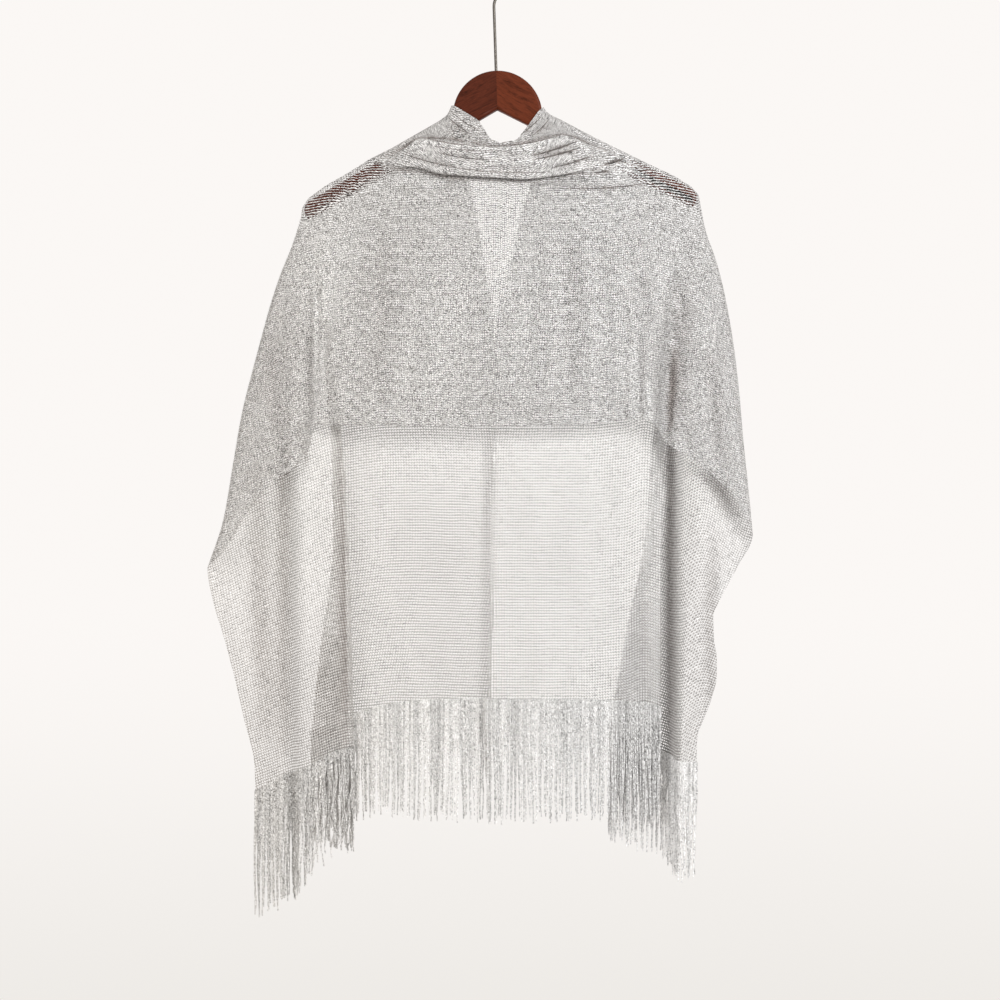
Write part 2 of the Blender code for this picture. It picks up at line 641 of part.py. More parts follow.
def make_hanger(name, mirror):
    """One half of the hanger, its edges rounded and the shank's bore cut."""
    pts = hanger_outline()
    half, r = WOOD_T / 2, WOOD_ROUND
    layers = (
        (-half, r), (-half + 0.3 * r, 0.3 * r), (-half + r, 0.0),
        (half - r, 0.0), (half - 0.3 * r, 0.3 * r), (half, r),
    )
    verts, faces = [], []
    for y, amount in layers:
        for x, z in inset(pts, amount):
            verts.append((x * mirror, y, z))
    n = len(pts)
    faces.append(tuple(range(n)))
    faces.append(tuple((len(layers) - 1) * n + k for k in reversed(range(n))))
    for k in range(len(layers) - 1):
        for i in range(n):
            a, b = k * n + i, k * n + (i + 1) % n
            faces.append((a, b, b + n, a + n))
    wood = solid(name, verts, faces)
    bore_path = [(0, 0, SHANK_END - BORE_SPARE), (0, 0, HEAD_Z + HEAD_R + WOOD_T / 2)]
    bore = tube("bore", bore_path, BORE_R, 12)
    cut = wood.modifiers.new("bore", "BOOLEAN")
    cut.operation, cut.object, cut.solver = "DIFFERENCE", bore, "EXACT"
    graph = bpy.context.evaluated_depsgraph_get()
    mesh = bpy.data.meshes.new_from_object(wood.evaluated_get(graph))
    wood.modifiers.clear()
    wood.data = mesh
    bpy.data.objects.remove(bore)
    return wood


def tube(name, path, radius, sides):
    """A round bar along a path that lies in the plane y = 0."""
    verts, faces = [], []
    p = np.array(path, float)
    for i in range(len(p)):
        way = p[min(i + 1, len(p) - 1)] - p[max(i - 1, 0)]
        way /= np.linalg.norm(way)
        side = np.array([way[2], 0, -way[0]])
        for k in range(sides):
            t = 2 * pi * k / sides
            verts.append(p[i] + radius * (cos(t) * side + sin(t) * np.array([0, 1, 0])))
    for i in range(len(p) - 1):
        for k in range(sides):
            a, b = i * sides + k, i * sides + (k + 1) % sides
            faces.append((a, b, b + sides, a + sides))
    faces.append(tuple(reversed(range(sides))))
    faces.append(tuple((len(p) - 1) * sides + k for k in range(sides)))
    return solid(name, verts, faces)


def make_hook():
    """The straight shank, the bend over it and the round of the hook."""
    r = HOOK_R + WIRE_R
    centre = -HOOK_R
    path = [(0, 0, SHANK_END), (0, 0, (SHANK_END + SHANK_TOP) / 2), (0, 0, SHANK_TOP)]
    start = np.array([0, SHANK_TOP])
    rise = start + np.array([0, BEND_RISE])
    end = np.array([r * cos(BEND_END), centre + r * sin(BEND_END)])
    lead = end - BEND_LEAD * np.array([-sin(BEND_END), cos(BEND_END)])
    for t in (0.25, 0.5, 0.75):
        u = (
            (1 - t) ** 3 * start
            + 3 * (1 - t) ** 2 * t * rise
            + 3 * (1 - t) * t * t * lead
            + t ** 3 * end
        )
        path.append((u[0], 0, u[1]))
    for k in range(19):
        t = BEND_END + HOOK_TURN * k / 18
        path.append((r * cos(t), 0, centre + r * sin(t)))
    return tube("hook", path, WIRE_R, 8)


# ---------------------------------------------------------------- assembly


def lean(obj):
    """The hanger leans a little on its hook."""
    obj.data.transform(Matrix.Rotation(-TILT, 4, "Y"))


def main():
    """Build all the solids in an empty scene."""
    for obj in list(bpy.data.objects):
        bpy.data.objects.remove(obj)
    silver = (0.62, 0.61, 0.6)
    hook = make_hook()
    left_wood, right_wood = make_hanger("wood_left", -1), make_hanger("wood_right", 1)
    for obj in (hook, left_wood, right_wood):
        lean(obj)
    paint(hook, "steel", (0.6, 0.58, 0.55), 0.3, 1.0)
    paint(left_wood, "walnut_left", (0.09, 0.03, 0.02), 0.4)
    paint(right_wood, "walnut_right", (0.13, 0.05, 0.03), 0.4)
    paint(make_back(), "knit_back", silver, 0.5, 0.4)
    ends = (
        ("left", LEFT_LEVELS, left_x, LEFT_ROOTS, -1),
        ("right", RIGHT_LEVELS, right_x, RIGHT_ROOTS, 1),
    )
    for side, levels, outline, roots, sign in ends:
        front, grid = make_front("front_" + side, levels, outline, roots, sign)
        paint(front, "knit_" + side, silver, 0.5, 0.4)
        fringe = make_fringe("fringe_" + side, grid[-1], roots, sign + 2)
        paint(fringe, "yarn_" + side, silver, 0.55, 0.4)


main()
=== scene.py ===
"""Fringed evening stole hung over a flat wooden hanger, with its stage.

The cloth is one rectangle of openwork knit. Its middle is the near (back) stretch,
its ends go over the hanger's arms, hang on the far side in a deep pleat each and
end in a fringe. Tables are in millimetres, in the part's own frame: X along the
hanger, Y away from the side that shows the back, Z up, origin inside the hook.
"""

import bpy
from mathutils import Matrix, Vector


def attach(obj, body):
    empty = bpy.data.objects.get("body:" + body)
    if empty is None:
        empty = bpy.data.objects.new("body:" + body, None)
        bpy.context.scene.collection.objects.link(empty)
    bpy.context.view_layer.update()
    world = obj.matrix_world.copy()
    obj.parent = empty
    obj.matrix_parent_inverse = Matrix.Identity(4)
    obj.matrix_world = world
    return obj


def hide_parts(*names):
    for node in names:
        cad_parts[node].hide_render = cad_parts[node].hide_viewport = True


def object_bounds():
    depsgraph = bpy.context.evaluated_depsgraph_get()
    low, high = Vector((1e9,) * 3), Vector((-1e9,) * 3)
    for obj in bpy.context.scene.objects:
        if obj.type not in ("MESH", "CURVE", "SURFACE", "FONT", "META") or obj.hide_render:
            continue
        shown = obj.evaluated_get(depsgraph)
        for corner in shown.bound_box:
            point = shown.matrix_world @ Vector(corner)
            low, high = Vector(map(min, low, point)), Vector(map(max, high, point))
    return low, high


bl_info = {
    "name": "Fringed Stole on a Hanger",
    "version": (1, 0, 0),
    "blender": (4, 5, 0),
    "location": "3D View > Sidebar > Stole",
    "description": "Builds an openwork stole, its fringe, its wooden hanger and a plain stage",
    "category": "Object",
}

from collections import namedtuple
from math import cos, pi, radians, sin, sqrt

import bmesh
import bpy
import numpy as np
from bpy.props import (
    FloatProperty,
    FloatVectorProperty,
    IntProperty,
    PointerProperty,
)
from mathutils import Matrix, Vector

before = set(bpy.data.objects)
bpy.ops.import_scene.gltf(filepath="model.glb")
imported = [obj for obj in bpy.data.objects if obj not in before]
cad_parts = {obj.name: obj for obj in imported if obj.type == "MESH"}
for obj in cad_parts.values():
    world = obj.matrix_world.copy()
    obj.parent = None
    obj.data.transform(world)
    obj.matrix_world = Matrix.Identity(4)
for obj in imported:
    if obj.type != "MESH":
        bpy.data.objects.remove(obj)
CAD_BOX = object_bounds()

MM = 0.001

# Cloth
LAYER = 3.4  # from one ply of the collar roll to the next
LAY = 7.5  # how far the cloth's middle lies from the hanger's mid-plane
SWING_HIGH = 7.0  # how far the near stretch swings out just below the arms
SWING_LOW = 8.0  # and how much more it swings out by its lower edge
ARM_R = 8.0  # round of the cloth over the arms
RIM_R = 9.0  # round of the cloth where it turns to the far side
FOLD_FULL = 10.0  # overlap from which a pleat of an end has its full shape
PLIES_FULL = 8.0  # and a fold of the collar roll
NECK_R = 5.0  # round of the cloth's edge beside the neck
STEP_W = 7.0  # half width of the slope that stands where an end has no pleat yet

# Hanger
SPAN = 432.0
ARM_SLOPE = radians(28.4)
ARM_DEPTH = 20.5  # measured straight down
WOOD_T = 12.0
WOOD_ROUND = 3.0
HEAD_R = 50.0
HEAD_Z = -179.8
NOTCH_Z = -173.5
HEAD_ARC = radians(86)  # from the head's top to where it meets the arm
HEAD_CORNER = 1.5  # that corner lies this far beyond the head
CORNER_RUN = 9.0  # and is eased over this length of the arm
TIP_R = 13.0  # round of the arm's upper end
HEEL_R = 4.0  # round of its lower end
FLAT_INSET = 0.5  # ring on the flat faces that keeps their rounding apart
TILT = radians(1.9)  # how far the hanger leans on its hook
JOINT = 0.02  # between the halves, glued

# Hook
WIRE_R = 1.6
HOOK_R = 20.0  # inside
BORE_R = WIRE_R + 0.35
SHANK_END = -152.0
SHANK_TOP = -HOOK_R - (HOOK_R + WIRE_R) - 16  # where the shank starts to bend
BEND_RISE, BEND_LEAD = 7.0, 12.0  # how long the bend keeps to its two ends' ways
BEND_END = radians(-52)  # where on the hook's round the bend ends
HOOK_TURN = radians(252)  # and how far the wire goes round from there
BORE_SPARE = 0.5  # the bore goes this much deeper than the shank

# ---------------------------------------------------------------- tables


def table(kind, *rows):
    """The rows of a table, each as one of its kind."""
    return [kind(*row) for row in rows]


Point = namedtuple("Point", "x z")

# Where the left and right outlines of the cloth run, from the arm's tip down.
LEFT_OUTLINE = table(
    Point,
    (-214, -292), (-222, -319), (-241, -368), (-252, -405), (-268, -466), (-281, -519),
    (-286, -548), (-309, -667), (-318, -687), (-312, -722), (-299, -765), (-286, -814),
    (-277, -853), (-265, -907), (-264, -936),
)
RIGHT_OUTLINE = table(
    Point,
    (233, -278), (239, -308), (251, -343), (261, -384), (269, -430), (275, -479),
    (281, -547), (283, -567), (289, -626), (291, -650), (275, -683), (253, -725),
    (247, -739), (248, -767), (251, -786), (251, -806), (245, -832), (238, -851),
    (229, -877), (228, -922),
)
# The cloth's top edge, from the left arm's tip over the neck to the right tip.
TOP = table(
    Point,
    (-214, -292), (-213, -283), (-206, -272), (-187, -258), (-159, -242), (-139, -229),
    (-113, -216), (-79, -196.5), (-58, -184.5), (-50, -178), (-45.5, -168), (-38, -172),
    (-15, -186), (-2, -207), (9, -211), (27, -208), (39, -193), (50, -178), (57.5, -170),
    (61, -175.5), (66, -179), (76, -183.5), (108, -200.5), (133, -213), (177, -234.5),
    (204, -247), (223, -259), (231, -268), (233, -278),
)
NECK_LEFT, NECK_RIGHT = -45.5, 57.5  # columns between which the neck is open
TIP_LEFT, TIP_RIGHT = -214.0, 233.0

# The lower edge of the near stretch, by the column's place on the arms.
Hem = namedtuple("Hem", "column z")
HEM = table(
    Hem,
    (-214, -687), (-206, -669), (-195, -629), (-178, -593), (-156, -570), (-149, -556),
    (-145, -527), (-60, -528), (9, -529), (90, -527), (143, -520), (153, -525), (166, -548),
    (174, -556), (194, -573), (207, -588), (216, -599), (220, -611), (233, -650),
)

# The collar roll: its two fold lines and how much of the double fold is there.
Roll = namedtuple("Roll", "column top bottom fold bulge")
ROLL = table(
    Roll,
    (-150, -252, -262, 0, 0), (-128, -231, -243, 0, 0.2), (-105, -220, -239, 0, 0.6),
    (-79, -208, -242, 0.25, 1), (-58, -208, -248, 0.8, 1), (-36, -211, -250, 1, 1),
    (2, -217, -252, 1, 1), (36, -213, -254, 1, 1), (58, -208, -252, 0.8, 1),
    (78, -204, -249, 0.25, 1), (96, -208, -246, 0, 0.9), (110, -214, -244, 0, 0.6),
    (144, -228, -243, 0, 0.15), (165, -250, -262, 0, 0),
)
ROLL_FROM, ROLL_TO = -150, 165  # columns that the roll takes part in
FIRST_PLEAT = 30.0  # overlap of the two inner plies
SECOND_PLEAT = 28.0  # overlap of the two outer plies

# Each end of the stole at a level: where the free edge, the hidden turn, the
# visible fold, the ridge, the hollow and their depths are.
Level = namedtuple(
    "Level",
    "z edge turn fold ridge hollow flat_y mid_y side_y ridge_y hollow_y end_y rim_y folded",
)
LEFT_LEVELS = table(
    Level,
    (-168, -45, -190, -190, -200, -206, 7.5, 7.5, 7.5, 7.5, 7.5, 7.5, 0, 0),
    (-218, -34, -190, -190, -200, -206, 7.5, 7.5, 7.5, 7.5, 7.5, 7.5, 0, 0),
    (-257, -25, -192, -192, -200, -206, 9, 9, 9, 9, 8, 7.5, 0, 0),
    (-290, -18, -188, -188, -200, -207, 13, 11, 9, 8.5, 8, 7.5, 0, 0.6),
    (-318, -13, -194, -194, -206, -210, 16, 12.5, 9, 8.5, 8, 7, -1, 1),
    (-345, -9, -201, -194, -209, -221, 19, 14.5, 10, 7, 8, 6, -1, 1),
    (-408, 1, -196, -185, -211, -234, 21, 15.5, 9, 2, 9, 4, -2, 1),
    (-520, 5, -184, -172, -207, -240, 23, 16, 7, -4, 10, 4, -4, 1),
    (-543, 5, -182, -169, -207, -240, 23, 16, 6, -7, 10, 4, -4, 1),
    (-660, 3, -180, -162, -206, -238, 23, 16, 3, -13, 10, 3, -5, 1),
    (-720, 2, -186, -159, -206, -237, 23, 15.5, 2, -16, 9, -2, -7, 1),
    (-767, 0, -193, -158, -205, -236, 23, 15, 2, -17, 8, -5, -8, 1),
    (-879, -1, -204, -156, -205, -232, 23, 14, 1, -18, 6, -7, -10, 1),
    (-940, -1, -206, -155, -205, -232, 23, 14, 1, -18, 6, -7, -10, 1),
)
RIGHT_LEVELS = table(
    Level,
    (-170, 57, 205, 205, 214, 221, 7.5, 7.5, 7.5, 7.5, 7.5, 7.5, 0, 0),
    (-218, 49, 205, 205, 214, 221, 7.5, 7.5, 7.5, 7.5, 7.5, 7.5, 0, 0),
    (-257, 42, 208, 208, 216, 222, 7.5, 8, 9, 9, 8, 7.5, 0, 0),
    (-290, 33, 206, 206, 219, 226, 9, 12, 14, 13, 11, 8, 0, 0.6),
    (-318, 26, 209, 209, 222, 228, 9, 13, 17, 16, 13, 9, -1, 1),
    (-345, 20, 211, 204, 219, 234, 9, 14, 20, 20, 12, 8, -1, 1),
    (-408, 5, 205, 195, 211, 236, 9, 15, 23, 24, 6, 6, -2, 1),
    (-520, 1, 196, 184, 205, 229, 9, 16, 26, 28, 0, 4, -4, 1),
    (-556, 0, 193, 180, 202, 225, 9, 16, 27, 30, -4, 3, -4, 1),
    (-640, -1, 191, 174, 198, 221, 9, 16, 28, 32, -9, 2, -5, 1),
    (-690, -2, 190, 166, 196, 218, 9, 16, 29, 33, -12, -4, -5, 1),
    (-767, -4, 190, 150, 196, 216, 9, 16, 29, 33, -13, -7, -5, 1),
    (-901, -6, 189, 132, 195, 209, 9, 16, 28, 31, -14, -8, -6, 1),
    (-940, -6, 189, 132, 195, 211, 9, 16, 28, 31, -14, -8, -6, 1),
)

# Lower edge of each end, the fringe's length there, how loose its strands are and the
# painted light on them (painted shade below 1), by share of the section.
Root = namedtuple("Root", "share z length loose light")
LEFT_ROOTS = table(
    Root,
    (0.00, -834, 138, 0.2, 1), (0.20, -836, 134, 0, 1), (0.36, -847, 120, 0.1, 0.98),
    (0.50, -868, 120, 0.2, 0.94), (0.62, -884, 118, 0.3, 0.88), (0.72, -892, 84, 1, 0.88),
    (0.80, -908, 130, 0.3, 0.88), (0.90, -919, 145, 0.1, 0.86),
    (1.00, -934, 140, 0.1, 0.84),
)
RIGHT_ROOTS = table(
    Root,
    (0.00, -834, 138, 0, 1), (0.25, -834, 134, 0.1, 1), (0.45, -838, 130, 0.1, 0.95),
    (0.60, -862, 122, 0.2, 1), (0.78, -892, 116, 0.2, 1.05), (0.90, -900, 128, 0.4, 1.12),
    (1.00, -903, 124, 0.2, 1.12),
)

# Soft pleats of the near stretch: centre at the arm and at the hem, half width,
# and how far it stands out (towards the viewer) at the hem.
Pleat = namedtuple("Pleat", "top_x hem_x width rise")
NEAR_PLEATS = table(
    Pleat,
    (-192, -191, 11, 8), (-209, -210, 11, -7), (-150, -152, 16, -3), (-96, -104, 22, 3),
    (-20, -30, 30, -3), (60, 62, 26, 3), (120, 128, 18, -3), (190, 168, 13, 7),
    (212, 190, 12, -8),
)

# Creases of the near stretch, most of them where the collar bunches up: from one
# point to another, with their half width, how deep they are at their middle (or how
# far they stand out, below 0), how far they sag between their ends, and how much
# painted shade the knit gets there (painted light, below 0).
Crease = namedtuple("Crease", "x0 z0 x1 z1 width depth sag dark")
CREASES = table(
    Crease,
    (43, -228, 95, -211, 2.0, 2.5, 1.5, 1.3), (46, -232, 99, -218, 1.9, 2.5, 1.5, 1.3),
    (68, -241, 112, -227, 2.2, 1.5, 1.0, 0.8), (122, -237, 148, -228, 2.0, 0.5, 0.5, 1.4),
    (112, -245, 134, -243, 2.4, 0.5, 0.5, 0.7), (66, -263, 178, -256, 3.5, 1.5, 2.5, 0.5),
    (-74, -203, -30, -213, 2.4, 2.5, 2.0, 0.6), (-66, -222, -6, -232, 2.6, 1.6, 2.0, 0.5),
    (-100, -224, -38, -240, 2.8, 2.0, 2.0, 0.5), (-24, -239, 46, -241, 2.6, 1.6, 1.0, 0.45),
    (-126, -233, -84, -246, 2.4, 0.8, 1.5, 0.9), (-70, -246, -30, -252, 2.8, 1.4, 1.0, 0.4),
    (4, -224, 36, -226, 2.2, 1.4, 0.5, 0.5), (-56, -190, -24, -204, 2.4, 1.6, 0.5, 0.6),
    (68, -190, 40, -203, 2.4, 1.6, 0.5, 0.6), (50, -184, 36, -202, 2.0, 1.0, 0.0, 0.5),
    (-48, -186, -30, -194, 2.0, 1.0, 0.0, 0.5), (20, -236, 84, -224, 5.0, -2.2, 1.0, -0.3),
    (-60, -231, 10, -239, 5.0, -1.8, 2.0, -0.25), (110, -252, 150, -246, 4.0, 0, 1.0, -0.3),
    (-203, -330, -202, -528, 3.5, 1.5, 0, 0.2),
    (-197, -340, -196, -526, 2.4, -2.0, 0, -0.8),
    (-187, -356, -187, -524, 2.6, -2.0, 0, -0.6),
    (158, -430, 158, -526, 4.5, -2.0, 0, -0.7), (150, -460, 150, -524, 2.5, 1.0, 0, 0.5),
    (166, -430, 166, -530, 2.5, 1.2, 0, 0.6), (175, -480, 175, -545, 4.0, -2.0, 0, -0.6),
    (203, -440, 197, -545, 4.0, 1.5, 0, 0.8), (216, -360, 204, -540, 12.0, 2.5, 2, 0.45),
    (-250, -420, -232, -566, 9.0, 2.2, 3, 0.3), (246, -430, 256, -590, 8.0, 2.2, 3, 0.3),
    (-120, -290, -126, -516, 12.0, 1.2, 0, 0.2), (86, -300, 92, -512, 14.0, 1.4, 0, 0.2),
    (30, -300, 26, -510, 16.0, -1.2, 0, -0.15),
    (-60, -300, -66, -510, 14.0, -1.2, 0, -0.15),
    (136, -290, 140, -500, 9.0, -1.2, 0, -0.2), (-160, -246, -194, -420, 24.0, 0, 0, -0.4),
    (-112, -244, -52, -258, 7.0, 0, 1.0, -0.35),
)
# The same for the pleats of each end, counted from its visible fold outward.
LEFT_CREASES = table(
    Crease,
    (-166, -420, -163, -900, 8.0, 0, 0, 0.85), (-236, -380, -233, -900, 9.0, 0, 0, 0.4),
    (-207, -400, -203, -900, 5.0, 0, 0, -0.35), (-213, -524, -205, -580, 4.0, 0, 0, 0.6),
    (-262, -560, -250, -880, 12.0, 0, 5, 0.3), (-285, -600, -268, -860, 9.0, 0, 6, -0.15),
)
RIGHT_CREASES = table(
    Crease,
    (202, -400, 203, -980, 6.5, 0, 0, 0.6), (226, -480, 223, -900, 8.0, 0, 0, 0.1),
    (238, -574, 272, -634, 11.0, 0, -3, 0.5), (250, -640, 246, -880, 9.0, 0, 4, 0.35),
    (266, -600, 262, -800, 8.0, 0, 4, -0.15),
)

# Sharp pinches in the collar and on the shoulders, too thin to press into the mesh, so
# painted into the knit as thin lines of painted shade: from one point to another, with
# how far they sag and their half width.
Pinch = namedtuple("Pinch", "x0 z0 x1 z1 sag width")
PINCHES = table(
    Pinch,
    (43, -228, 95, -211, 1.5, 0.7), (46, -232.5, 99, -218, 1.5, 0.7),
    (68, -241, 112, -227, 1.0, 0.5), (125, -236, 147, -229, 0.4, 0.9),
    (114, -245, 130, -243, 0.3, 0.6), (68, -263, 176, -256, 2.5, 0.5),
    (-79, -206, -20, -216, 2.5, 0.5), (-20, -216, 78, -204, 5.0, 0.5),
    (-60, -224, -4, -232, 2.0, 0.45), (-96, -226, -40, -240, 2.0, 0.45),
    (-50, -182, -22, -202, 1.5, 0.4), (-46, -176, -14, -198, 1.5, 0.4),
    (56, -180, 30, -203, -1.5, 0.4), (64, -184, 44, -204, -1.0, 0.4),
    (-72, -216, 20, -222, 3.0, 0.35), (-50, -240, 60, -246, 3.0, 0.35),
)

# Where the bunched collar ends: above this line the knit is drawn together and its
# holes close. Full between the inner pair of places, none beyond the outer pair.
COLLAR_EDGE = table(
    Point,
    (-150, -221), (-135, -226), (-128, -230), (-105, -236), (-79, -242), (-58, -249),
    (0, -255), (36, -257), (76, -252), (100, -249), (130, -247), (178, -246),
)
COLLAR_FADE = (-146, -128, 116, 176)

# How much higher than straight the knit's rows lie across each end, pulled up or let
# down by its pleats.
Rise = namedtuple("Rise", "x rise")
LEFT_RISE = table(
    Rise,
    (-320, -62), (-285, -48), (-215, -20), (-165, -3), (-100, 3), (14, 0),
)
NEAR_RISE = table(
    Rise,
    (-320, -46), (-260, -22), (-220, -7), (-170, 0), (0, -4), (170, 0), (220, -7),
    (262, -24), (292, -38),
)
RIGHT_RISE = table(
    Rise,
    (-6, 0), (98, 0), (149, 4), (171, 11), (189, 6), (206, 2), (236, 14), (260, 4),
    (292, -10),
)

# ---------------------------------------------------------------- curves


def ease(a, b, x):
    """0 below a, 1 above b, smooth between."""
    t = np.clip((x - a) / (b - a), 0.0, 1.0)
    return t * t * (3 - 2 * t)


def curve(xs, ys):
    """A smooth line through the points that never overshoots between two of them."""
    order = np.argsort(xs)
    xs, ys = np.array(xs, float)[order], np.array(ys, float)[order]
    run, rise = np.diff(xs), np.diff(ys)
    slope = rise / run
    tangent = np.zeros(len(xs))
    tangent[0], tangent[-1] = slope[0], slope[-1]
    for i in range(1, len(xs) - 1):
        if slope[i - 1] * slope[i] > 0:
            a, b = 2 * run[i] + run[i - 1], run[i] + 2 * run[i - 1]
            tangent[i] = (a + b) / (a / slope[i - 1] + b / slope[i])

    def at(x):
        x = np.clip(x, xs[0], xs[-1])
        i = np.clip(np.searchsorted(xs, x, "right") - 1, 0, len(run) - 1)
        t = (x - xs[i]) / run[i]
        return (
            ys[i] * (1 + 2 * t) * (1 - t) ** 2
            + ys[i + 1] * t * t * (3 - 2 * t)
            + run[i] * t * (1 - t) * (tangent[i] * (1 - t) - tangent[i + 1] * t)
        )

    return at


def columns_of(rows, key, *names):
    """One curve for each named column of a table, against its key column."""
    keys = [getattr(row, key) for row in rows]
    return [curve(keys, [getattr(row, name) for row in rows]) for name in names]


def between(grid, at):
    """The grid's lines (its first axis) read at fractional numbers, smoothly."""
    run = grid[1:] - grid[:-1]
    tangent = np.zeros_like(grid)
    tangent[0], tangent[-1] = run[0], run[-1]
    a, b = run[:-1], run[1:]
    total = np.where(a * b > 0, a + b, 1.0)
    tangent[1:-1] = np.where(a * b > 0, 2 * a * b / total, 0.0)
    i = np.clip(np.floor(at).astype(int), 0, len(grid) - 2)
    t = (at - i).reshape((-1,) + (1,) * (grid.ndim - 1))
    return (
        grid[i] * (1 + 2 * t) * (1 - t) ** 2
        + grid[i + 1] * t * t * (3 - 2 * t)
        + t * (1 - t) * (tangent[i] * (1 - t) - tangent[i + 1] * t)
    )


def finer(parts):
    """Fractional line numbers when line k and k + 1 are parts[k] apart."""
    at = [k + s / n for k, n in enumerate(parts) for s in range(n)]
    return np.array(at + [len(parts)], float)


(left_x,) = columns_of(LEFT_OUTLINE, "z", "x")
(right_x,) = columns_of(RIGHT_OUTLINE, "z", "x")
(hem_z,) = columns_of(HEM, "column", "z")
(left_rim_y,) = columns_of(LEFT_LEVELS, "z", "rim_y")
(right_rim_y,) = columns_of(RIGHT_LEVELS, "z", "rim_y")
roll_top, roll_bottom, roll_fold, roll_bulge = columns_of(
    ROLL, "column", "top", "bottom", "fold", "bulge"
)


def top_z(column):
    """Height of the cloth's top edge over a column."""
    return float(np.interp(column, [p.x for p in TOP], [p.z for p in TOP]))


def wrap(distance, radius):
    """Quarter round: 0 at the rim, 1 a radius away from it."""
    t = np.clip(distance / radius, 0.0, 1.0)
    return np.sqrt(1 - (1 - t) ** 2)


# ---------------------------------------------------------------- near stretch

WRAP_STEPS = (0.0, 0.6, 2.2, 4.8, 9.0)
PANEL_STEPS = (0.06, 0.17, 0.33, 0.5, 0.67, 0.84, 1.0)
# Rows of the fine mesh between one drawn point of a column and the next.
NEAR_PARTS = (2,) * 4 + (12, 2, 2, 5, 2, 3, 3, 2, 16, 2, 2, 5, 2, 2, 8, 9, 12, 13, 13, 13, 13)
NECK_ROWS = 20  # of those, down to where the cloth goes behind the roll
FRONT_ROWS = slice(35, 55)  # those on the near face of the roll
ROLL_ROWS = 68  # of those, down to the lower end of the roll
PLEAT_COLUMN = 81  # column of an end where its visible fold lies
HIGH_DOWN, LOW_DOWN = (0, 110), (80, 320)  # drops over which SWING_HIGH and _LOW set in
PLEATS_DOWN = (30, 260)  # and over which the near pleats grow
PLEATS_TURN = (-300, -520)  # levels between which they pass from top_x to hem_x
ROLL_DOWN = (0, 90)  # drop below the roll over which it stops setting the depth
NECK_COLUMNS = 36  # of the fine mesh, across the open neck
# The panel starts this far below the arms and, where the roll takes part, at least
# this far below them and this far below the roll.
PANEL_DROP, ROLL_DROP, ROLL_SPARE = 40, 34, 6


def spread(column, z):
    """X of a column at a level: the cloth widens below the arms' tips."""
    share = (column - TIP_LEFT) / (TIP_RIGHT - TIP_LEFT)
    return left_x(z) * (1 - share) + right_x(z) * share


def near_depth(x, z, drop):
    """Depth of the hanging near stretch, a drop below the hanger."""
    y = -LAY - SWING_HIGH * ease(*HIGH_DOWN, drop) - SWING_LOW * ease(*LOW_DOWN, drop)
    grown = ease(*PLEATS_DOWN, drop)
    for pleat in NEAR_PLEATS:
        centre = pleat.top_x + (pleat.hem_x - pleat.top_x) * ease(*PLEATS_TURN, z)
        near = max(0.0, 1 - ((x - centre) / pleat.width) ** 2)
        y -= pleat.rise * grown * near * near
    return y


def roll_weight(column):
    """1 where the collar roll sets the depth, 0 out on the arms."""
    return min(1.0, roll_bulge(column) * 1.6)


def near_column(column):
    """Drawn points of one column of the near stretch, from its top rim to the hem."""
    start = top_z(column)
    in_neck = NECK_LEFT < column < NECK_RIGHT
    inward = max(0.0, min(column - NECK_LEFT, NECK_RIGHT - column))
    first = -LAY * wrap(inward, NECK_R)
    fold, bulge = roll_fold(column), roll_bulge(column)
    top, bottom = roll_top(column), roll_bottom(column)
    over, under = FIRST_PLEAT * fold, SECOND_PLEAT * fold
    r, wide = min(LAYER / 2, over / 4), min(1.5 * LAYER, over / 2)
    loose = 0.2 * (1 - min(1.0, over / PLIES_FULL))
    one, two = top - over, bottom + under
    folded = (
        (0.0, one + r), (0.5, one), (1.0, one + r), (1.0 + loose, top - wide),
        (1.45, top - 0.3 * wide), (2.5, top), (3.55, top - 0.3 * wide),
        (4.0, top - wide), (4.0, bottom + r), (3.5, bottom), (3.0, bottom + r),
        (3.0 - loose, two - r), (2.5, two), (2.0, two - r),
    )
    points = []
    for d in WRAP_STEPS:
        points.append((first + (-LAY - first) * wrap(d, ARM_R), start - d))
    begin = start - WRAP_STEPS[-1]
    flat_end = begin - PANEL_DROP
    if ROLL_FROM < column < ROLL_TO:
        flat_end = min(bottom - ROLL_SPARE, begin - ROLL_DROP)
    for k, (ply, z) in enumerate(folded):
        plain = begin + (flat_end - begin) * (k + 1) / len(folded)
        points.append((-LAY - LAYER * bulge * ply, plain + (z - plain) * bulge))
    last_y, last_z = points[-1]
    for step in PANEL_STEPS:
        points.append((last_y, last_z + (hem_z(column) - last_z) * step))
    placed = []
    for k, (y, z) in enumerate(points):
        x = spread(column, z)
        if k >= len(WRAP_STEPS):
            hang = near_depth(x, z, max(0.0, begin - z))
            in_roll = k < len(WRAP_STEPS) + len(folded)
            rolled = 1.0 if in_roll else 1 - ease(*ROLL_DOWN, last_z - z)
            held = roll_weight(column) * rolled
            y = y * held + hang * (1 - held)
        rim = left_rim_y(z) if column < 0 else right_rim_y(z)
        side = min(x - left_x(z), right_x(z) - x)
        if k == 0 and not in_neck:
            y = first if side > 1 else rim
        y = rim + (y - rim) * wrap(side, RIM_R)
        placed.append((x, y, z))
    return placed


def near_grid(columns):
    """Fine grid of the near stretch over the columns, from its top rim to the hem."""
    drawn = np.array([near_column(c) for c in columns]).transpose(1, 0, 2)
    return between(drawn, finer(NEAR_PARTS))


# ---------------------------------------------------------------- far stretches

FLAT_STEPS = (0.0, 0.02, 0.28, 0.55, 0.8)
SIDE_STEPS = 7
TURN = [radians(a) for a in (0, 45, 90, 135, 180)]
